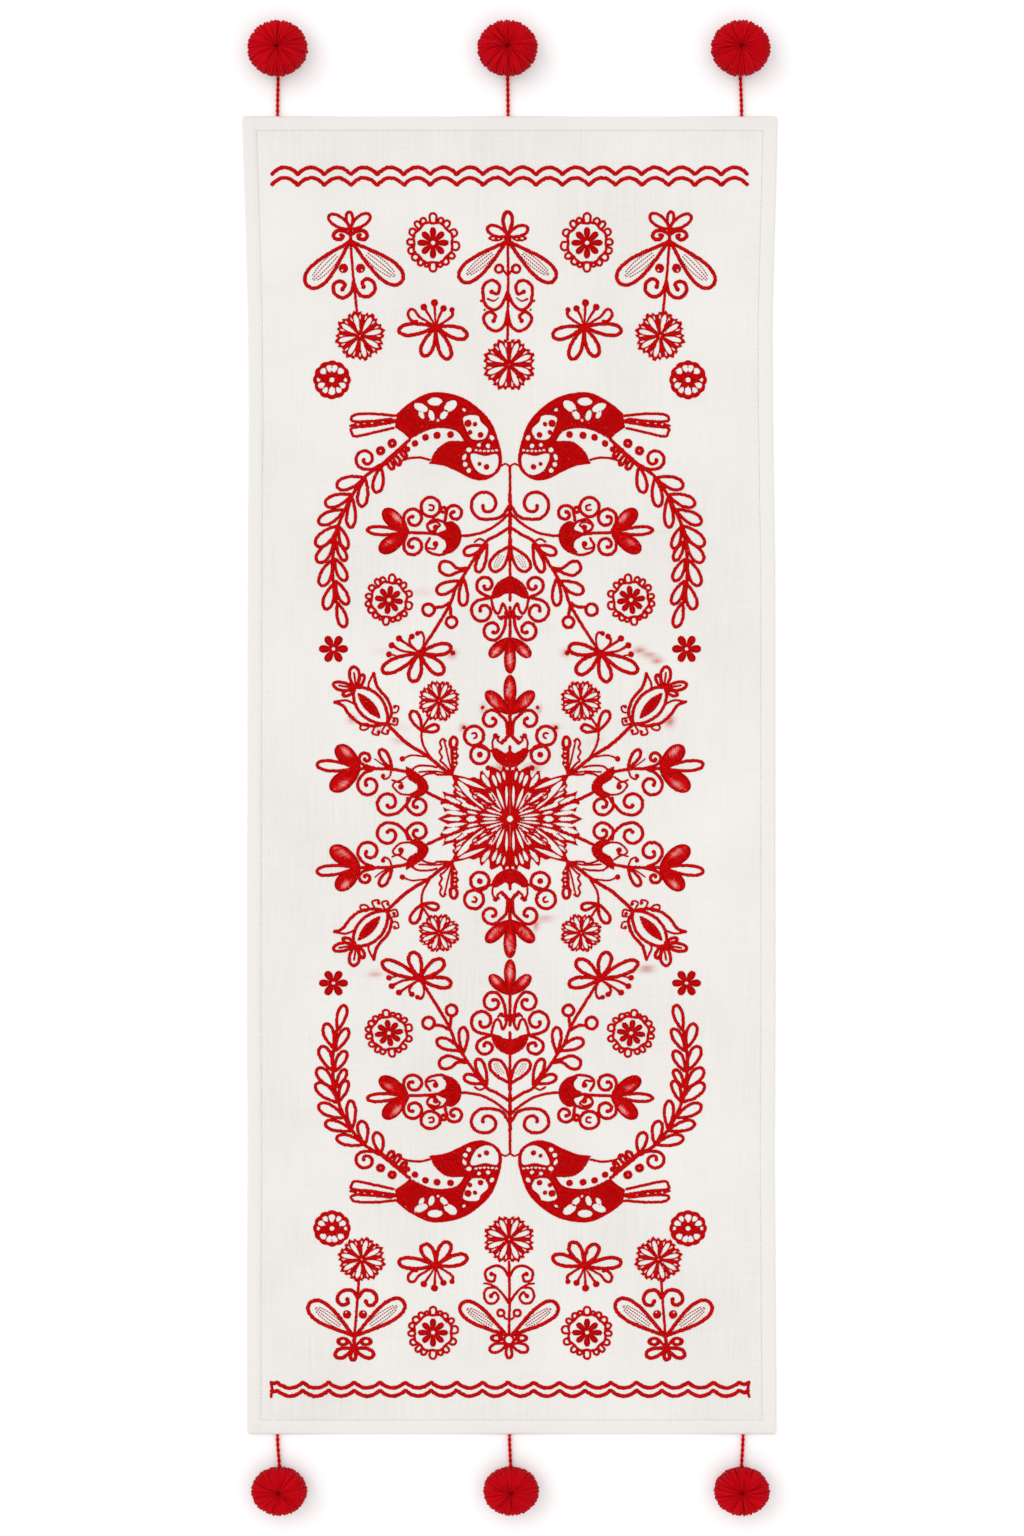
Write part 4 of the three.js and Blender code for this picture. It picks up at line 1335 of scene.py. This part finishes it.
def outer_tulip():
    """The bud that points to the cloth's side, with the round blob and curls on its stem."""
    joint = (150, 50.3)
    marks = full_petal(joint, (173, 72.5), 16.5, glow=((164, 67), 8, 45))
    marks += full_petal(joint, (179, 29.5), 17.5, glow=((168, 35), 9, -36))
    marks += petal((152, 50.5), (193, 54.5), 10)
    marks += line([joint, (131.4, 50.3), (117.4, 49.6), (103.4, 46.8), (96, 41)])
    marks += scroll((134, 50.3), (144.6, 60.5), 6, 1, 1.0, lead=[(145, 53.5)])
    marks += scroll((137, 49.5), (141.5, 34.2), 10.4, -1, 1.1, lead=[(146, 45.5)])
    marks += petal((118, 50.3), (129.5, 69), 8) + line([(135, 60), (127, 54), (119, 50)], 1.6)
    marks += hooked([(118, 49.5), (121, 42), (126, 40), (127, 43)], 2.2, 2.2)
    blob = np.vstack([curve([(104, 53), (94, 47), (84.5, 39), (81.5, 30), (88, 23), (97, 21), (101, 25)]),
                      curve([(101, 25), (93.5, 29), (93, 34), (101, 39.5), (104, 46), (104, 53)])])
    marks += fill(blob, heading=50)
    marks += line([(99, 24), (110, 25.5), (117, 33), (114, 37), (108, 36)], 2.2)
    marks += line([(104, 42), (112, 37.5), (118, 39)], 2.2) + dot((109, 32.3), 2.8)
    marks += scroll((99, 21.5), (121.5, 15.5), 11.2, 1, 1.1, lead=[(105, 13), (111.8, 6.5)])
    marks += scroll((102, 21.5), (92.3, 13.3), 9, -1, 1.05, lead=[(103, 12)])
    marks += line([(83, 26.4), (73.9, 22), (66, 18)])
    return marks


# The star's open slits in one quarter: inner end, outer end and width
STAR_SLITS = [
    ((3.2, 9), (3.6, 34), 3.8), ((5, 8), (13.5, 31), 4.4), ((9, 35), (13, 47), 3.6), ((5, 38), (7, 48), 2.8),
    ((13, 32), (17.5, 44), 4.0), ((19.5, 31), (28, 44.5), 5.2), ((8, 8.5), (19, 27.5), 3.0),
    ((14, 17.5), (21, 26), 2.8), ((22, 29), (52, 41), 5.4), ((24, 8), (53, 38.5), 7.4),
    ((32, 22), (41, 29.5), 3.4), ((17, 15), (34, 26.5), 2.8), ((20, 11.5), (35, 20.5), 2.8),
    ((6.5, 3.8), (24, 9.5), 2.6), ((9, 2.2), (30, 4.6), 2.4), ((8, 6.8), (19, 13.5), 2.4),
    ((28, 8.3), (50, 15.5), 4.0), ((42, 15), (54, 21.5), 3.0),
    ((47, 14.2), (65, 22.5), 4.2), ((50, 8.8), (68, 14.3), 5.4), ((43, 4.6), (64, 7.2), 4.4),
    ((31, 5), (43, 7.5), 3.0), ((47, 26.5), (55.5, 33.5), 2.8), ((44, 21.5), (54, 27.5), 2.6),
]


# The ring of stitches round the star's white eye: radius and width
STAR_EYE = (4.4, 2.8)


def star_quarter():
    """A quarter of the star: a full shape with a jagged edge, cut by open slits."""
    edge = np.array([
        (0.2, 3.6), (0.2, 49), (4, 49), (6.5, 52), (9, 47.5), (13, 49.5), (19, 51.5), (20, 44.5), (22, 40.5),
        (28.5, 47.5), (30.5, 39.5), (36, 41.3), (41, 40.3), (48, 42.2), (57, 43.5), (55.5, 37), (56.8, 33),
        (54.5, 30.5), (56.5, 27), (55, 24.5), (60, 24.5), (67, 27), (65, 21), (70, 16.5), (66.5, 11), (66, 8),
        (62, 5.5), (72.5, 0), (68, 0), (60, 2), (51, 2.2), (47, -0.3), (44.5, -0.3), (41, 2.8), (36, 3),
        (32, -0.5), (29, -0.5), (25, 1.3), (16, 1.3), (11, -0.5), (3.4, -0.5), (2.6, 1.8), (1.4, 3),
        (0.4, 3.6),
    ])
    slits = [drop(inner, outer, wide, sharp=0.9, blunt=0.55, count=10) for inner, outer, wide in STAR_SLITS]
    marks = fill(edge, slits, heading=33) + line(edge[2:22], 1.2)
    for slit in slits[:2] + slits[8:10]:
        marks += outline(slit, 1.2)
    arc = [(20, 13), (29, 15.5), (37, 22), (36, 28), (30, 28.5), (22, 22), (17, 17)]
    return marks + line(arc, 1.5)


def whole_pattern():
    """Groups of marks for each sewn piece, by name, in steps from the pattern's middle."""
    groups = {}
    for end, end_name in ((1, "top"), (-1, "bottom")):
        for side, side_name in ((-1, "left"), (1, "right")):
            place = end_name + "_" + side_name
            size = 0.97 if end > 0 else 0.93
            upper = at(ring_rosette(1.04), 77, 576, 0, size) + at(small_rosette(), 178, 439)
            upper += at(carnation(25.7 * size), 150 if end > 0 else 148.3, 483, 9)
            bud = at(top_sprig(), 159.5, 578) if end > 0 else at(bottom_sprig(), 155.5, 581)
            upper += at(spray_flower_up(1 if end > 0 else 0.78), 74, 492 if end > 0 else 494) + bird()
            groups["birds_" + place] = in_quarter(upper, side, end) + in_quarter(bud, side, end, 1)
            mid = leaf_spray() + at(ring_rosette(), 121, 219, 8, 0.88) + at(six_petals(), 176.5, 170)
            mid += at(spray_flower_side(), 90, 166) + side_tulip() + centre_column()
            groups["leaves_" + place] = in_quarter(mid, side, end)
            stray = dot((27.5, 111.5), 1.7) + dot((46, 91.5), 1.8) + dot((57, 166), 2.3) + dot((22, 51), 2.6)
            near = (stray if end > 0 else []) + at(carnation(20.5), 71, 118, 3)
            near += big_tulip() + lobed_leaves() + outer_tulip()
            groups["tulips_" + place] = in_quarter(near, side, end)
            groups.setdefault("star", []).extend(in_quarter(star_quarter(), side, end))
        column = middle_line() + at(carnation(26.5 if end > 0 else 25.5), 1, 454.3, 0)
        column += line([(-9, 353), (-4.5, 355), (0, 353), (4.5, 355), (9, 353)], 2)
        bud = at(top_middle_sprig(), 2.4, 580) if end > 0 else at(bottom_middle_sprig(), 1, 585)
        groups["column_" + end_name] = in_quarter(column, -1, end) + in_quarter(bud, -1, end, 1)
    groups["star"] += ring((0, 0), *STAR_EYE)
    groups["border_top"] = scallops([(651.5, 644.2), (641, 633.5)], -238.5, 26.45)
    groups["border_bottom"] = scallops(
        [(-568.8, -563), (-577, -571)], -232.8, 25.66, [(-238.8, -232.8), (229.1, 238.6)])
    for side in (-1, 1):
        groups["border_bottom"] += line([(239 * side, -562.5), (237.8 * side, -570), (239 * side, -578)], 3.2)
    return groups


SCALLOPS = 18


def scallops(rows, first, pitch, ends=()):
    """Rows of arcs between cusps. Each row gives how far up its crests and its cusps lie.

    ends are the shorter arcs at a row's ends, each from one place to another."""
    marks = []
    for crest, cusp in rows:
        for low, high in [(first + pitch * k, first + pitch * (k + 1)) for k in range(SCALLOPS)] + list(ends):
            t = np.linspace(0, 1, 15)
            rise = np.sin(math.pi * t) ** 0.85 * min(1, (high - low) / pitch)
            arc = np.column_stack([low + (high - low) * t, cusp + (crest - cusp) * rise])
            marks.append(Mark("line", [arc], 4.1))
    return marks


# Sewing: each mark becomes rows of stitches laid on the cloth

STITCH = Rod(4, [(0, 0.6), (0.5, 0.98), (1, 0.6)])
rng = np.random.default_rng(11)
# Distances from stitch to stitch in an outline, in running stitches, in a fill and round the hem
LINE_PITCH = 1.65
RUNNING_PITCH = 2.0
FILL_PITCH = 0.72
HEM_PITCH = 2.6
# A satin stitch's longest step, and the shortest that is sewn
LONGEST = 6.5
SHORTEST = 0.35
# How much wider thread lies than the line that it covers, and the slant of its stitches in radians
SPREAD = 1.08
SLANT = 0.12


def stitch_rows(middle, *columns):
    """Stitches, a row each: x, y, then the columns heading, length, width, height, lift and tone."""
    return np.column_stack([middle, *[np.broadcast_to(column, len(middle)) for column in columns]])


def sew_line(mark):
    """Slanting stitches that overlap along a line."""
    path = mark.paths[0] * STEP + MIDDLE
    middle, heading, pitch = spaced(path, LINE_PITCH)
    count = len(middle)
    if isinstance(mark.width, tuple):
        width = np.linspace(*mark.width, count) * STEP * SPREAD
    else:
        width = np.full(count, mark.width * STEP * SPREAD)
    wander = 0.035 * width[:, None]
    return stitch_rows(
        middle + wander * rng.normal(0, 1, (count, 2)),
        heading + SLANT + rng.normal(0, 0.04, count),
        pitch * 1.75,
        width * rng.normal(1, 0.04, count),
        0.6 * width**0.5,
        0.12 + 0.1 * (np.arange(count) % 2),
        mark.tone + rng.normal(0, 0.04, count),
    )


def sew_running(mark):
    """Fine short stitches with gaps between them."""
    path = mark.paths[0] * STEP + MIDDLE
    middle, heading, pitch = spaced(path, RUNNING_PITCH)
    return stitch_rows(middle, heading, pitch * 0.72, mark.width * STEP * 1.2, 0.4, 0.12, 0.38)


def sew_fill(mark):
    """Satin stitches across a shape, in long and short steps where it is wide."""
    turn = math.radians(mark.heading)
    spin = np.array([[math.cos(turn), -math.sin(turn)], [math.sin(turn), math.cos(turn)]])
    paths = [(path * STEP + MIDDLE) @ spin for path in mark.paths]
    low, high = paths[0][:, 1].min(), paths[0][:, 1].max()
    count = max(1, round((high - low) / FILL_PITCH))
    rows = []
    for k in range(count):
        level = low + (k + 0.5) * (high - low) / count
        crossings = []
        for path in paths:
            after = np.roll(path, -1, axis=0)
            hit = (path[:, 1] > level) != (after[:, 1] > level)
            a, b = path[hit], after[hit]
            crossings += list(a[:, 0] + (level - a[:, 1]) / (b[:, 1] - a[:, 1]) * (b[:, 0] - a[:, 0]))
        crossings.sort()
        for start, stop in zip(crossings[::2], crossings[1::2]):
            if stop - start < SHORTEST:
                continue
            pieces = max(1, round((stop - start) / LONGEST))
            share = 0 if pieces == 1 else (0.25 if k % 2 else -0.25)
            cuts = start + (stop - start) * np.clip((np.arange(pieces + 1) + share) / pieces, 0, 1)
            cuts[0], cuts[-1] = start, stop
            for a, b in zip(cuts, cuts[1:]):
                rows.append(((a + b) / 2, level, b - a + 0.12))
    if not rows:
        return np.zeros((0, 8))
    rows = np.array(rows)
    count = len(rows)
    return stitch_rows(
        rows[:, :2] @ spin.T,
        turn + rng.normal(0, 0.03, count),
        rows[:, 2],
        FILL_PITCH * 1.6,
        0.5,
        0.16 + rng.uniform(0, 0.05, count),
        mark.tone + rng.normal(0.01, 0.035, count),
    )


# A glow is a painted highlight, a soft light patch on a fill for the satin's sheen: its width for its length,
# and how much it lightens the thread.
# A stitch is a little darker at its ends: painted shade where one stitch meets the next.
GLOW_WIDTH = 0.36
GLOW_STRENGTH = 0.4
END_SHADE = 0.10


def stitches_of(marks):
    """The stitches of all the marks, and for each stitch its glow, a painted highlight: x, y, radius and
    heading.
    """
    sew = {"line": sew_line, "fill": sew_fill, "running": sew_running}
    rows, glows = [], []
    for mark in marks:
        made = sew[mark.kind](mark)
        rows.append(made)
        glow = (0.0, 0.0, 0.0, 0.0)
        if mark.glow is not None:
            (x, y), radius, turn = mark.glow
            glow = (x * STEP + MIDDLE[0], y * STEP + MIDDLE[1], radius * STEP, math.radians(turn))
        glows.append(np.tile(glow, (len(made), 1)))
    return np.vstack(rows), np.vstack(glows)


def lay_stitches(name, rows, glows, material):
    """One piece of all the stitches, laid on the cloth's face."""
    x, y, heading, length, width, height, lift, tone = rows.T[:, :, None]
    along = (STITCH.corners[:, 2] - 0.5)[None] * length
    across = STITCH.corners[:, 0][None] * width / 2
    px = x + along * np.cos(heading) - across * np.sin(heading)
    py = y + along * np.sin(heading) + across * np.cos(heading)
    pz = face_height(x, y) + lift + STITCH.corners[:, 1][None] * height / 2
    tones = np.broadcast_to(tone, px.shape).copy()
    # Painted shade: each stitch is darker towards its ends
    tones -= END_SHADE * np.abs(STITCH.corners[:, 2] - 0.5)[None] * 2
    # Painted highlight: the thread is lighter round a fill's glow, standing in for the satin's sheen
    glow_x, glow_y, glow_r, glow_turn = glows.T[:, :, None]
    lit = glow_r > 0
    reach = np.where(lit, glow_r, 1)
    dx, dy = px - glow_x, py - glow_y
    long = (dx * np.cos(glow_turn) + dy * np.sin(glow_turn)) / reach
    wide = (dy * np.cos(glow_turn) - dx * np.sin(glow_turn)) / (GLOW_WIDTH * reach)
    tones += np.where(lit, GLOW_STRENGTH * np.exp(-(long**2) - wide**2), 0)
    mesh = join_copies(name, STITCH, np.stack([px, py, pz], axis=2), rows[:, 3], tones, material)
    return show(name, mesh)


for name, marks in whole_pattern().items():
    rows, glows = stitches_of(marks)
    lay_stitches("embroidery_" + name, rows, glows, thread_finish)


def hem_rows():
    """Running stitches round the cloth, along the inner edge of its hem."""
    inset = HEM_WIDTH - 0.4
    y = np.linspace(-LENGTH / 2 + inset, LENGTH / 2 - inset, 120)
    left = np.column_stack([edge_at("left", y) + inset, y])
    right = np.column_stack([edge_at("right", y) - inset, y])
    bottom = np.array([left[0], right[0]])
    top = np.array([left[-1], right[-1]])
    rows = []
    for path in (left, right, bottom, top):
        middle, heading, pitch = spaced(path, HEM_PITCH)
        count = len(middle)
        rows.append(stitch_rows(
            middle, heading + rng.normal(0, 0.03, count), pitch * 0.66, 0.7, 0.5, 0.05,
            0.45 + rng.normal(0, 0.06, count),
        ))
    return np.vstack(rows)


hem_sewing = hem_rows()
hem_stitches = lay_stitches("hem_stitches", hem_sewing, np.zeros((len(hem_sewing), 4)), cream_finish)


# Floor and light

FLOOR_HALF_WIDTH = 6
FLOOR_DROP = 0.0004


def add_floor():
    """A plain pale floor, a hair below the cloth."""
    bm = bmesh.new()
    bmesh.ops.create_grid(bm, x_segments=4, y_segments=4, size=FLOOR_HALF_WIDTH)
    bmesh.ops.translate(bm, vec=(0, 0, -FLOOR_DROP), verts=bm.verts[:])
    mesh = bpy.data.meshes.new("floor")
    bm.to_mesh(mesh)
    bm.free()
    material, _, shader = new_finish("pale_floor", 0.9, 0.0, (1, 1, 1), 0.1)
    shader.inputs["Base Color"].default_value = (0.965, 0.965, 0.965, 1)
    mesh.materials.append(material)
    floor = bpy.data.objects.new("floor", mesh)
    scene.collection.objects.link(floor)
    floor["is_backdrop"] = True


def add_soft_sun(name, towards, spread, strength):
    """A wide soft light from one side, as bright everywhere."""
    data = bpy.data.lights.new(name, "SUN")
    data.angle = math.radians(spread)
    data.energy = strength
    light = bpy.data.objects.new(name, data)
    light.rotation_euler = [math.radians(turn) for turn in towards]
    scene.collection.objects.link(light)


def add_world(strength):
    """White light from all round."""
    world = bpy.data.worlds.new("studio")
    world.use_nodes = True
    world.node_tree.nodes["Background"].inputs["Color"].default_value = (1, 1, 1, 1)
    world.node_tree.nodes["Background"].inputs["Strength"].default_value = strength
    scene.world = world


add_floor()
add_soft_sun("window_left", (-22, -42, 0), 50, 0.45)
add_world(1.08)
scene.view_settings.view_transform = "Standard"

low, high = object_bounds()
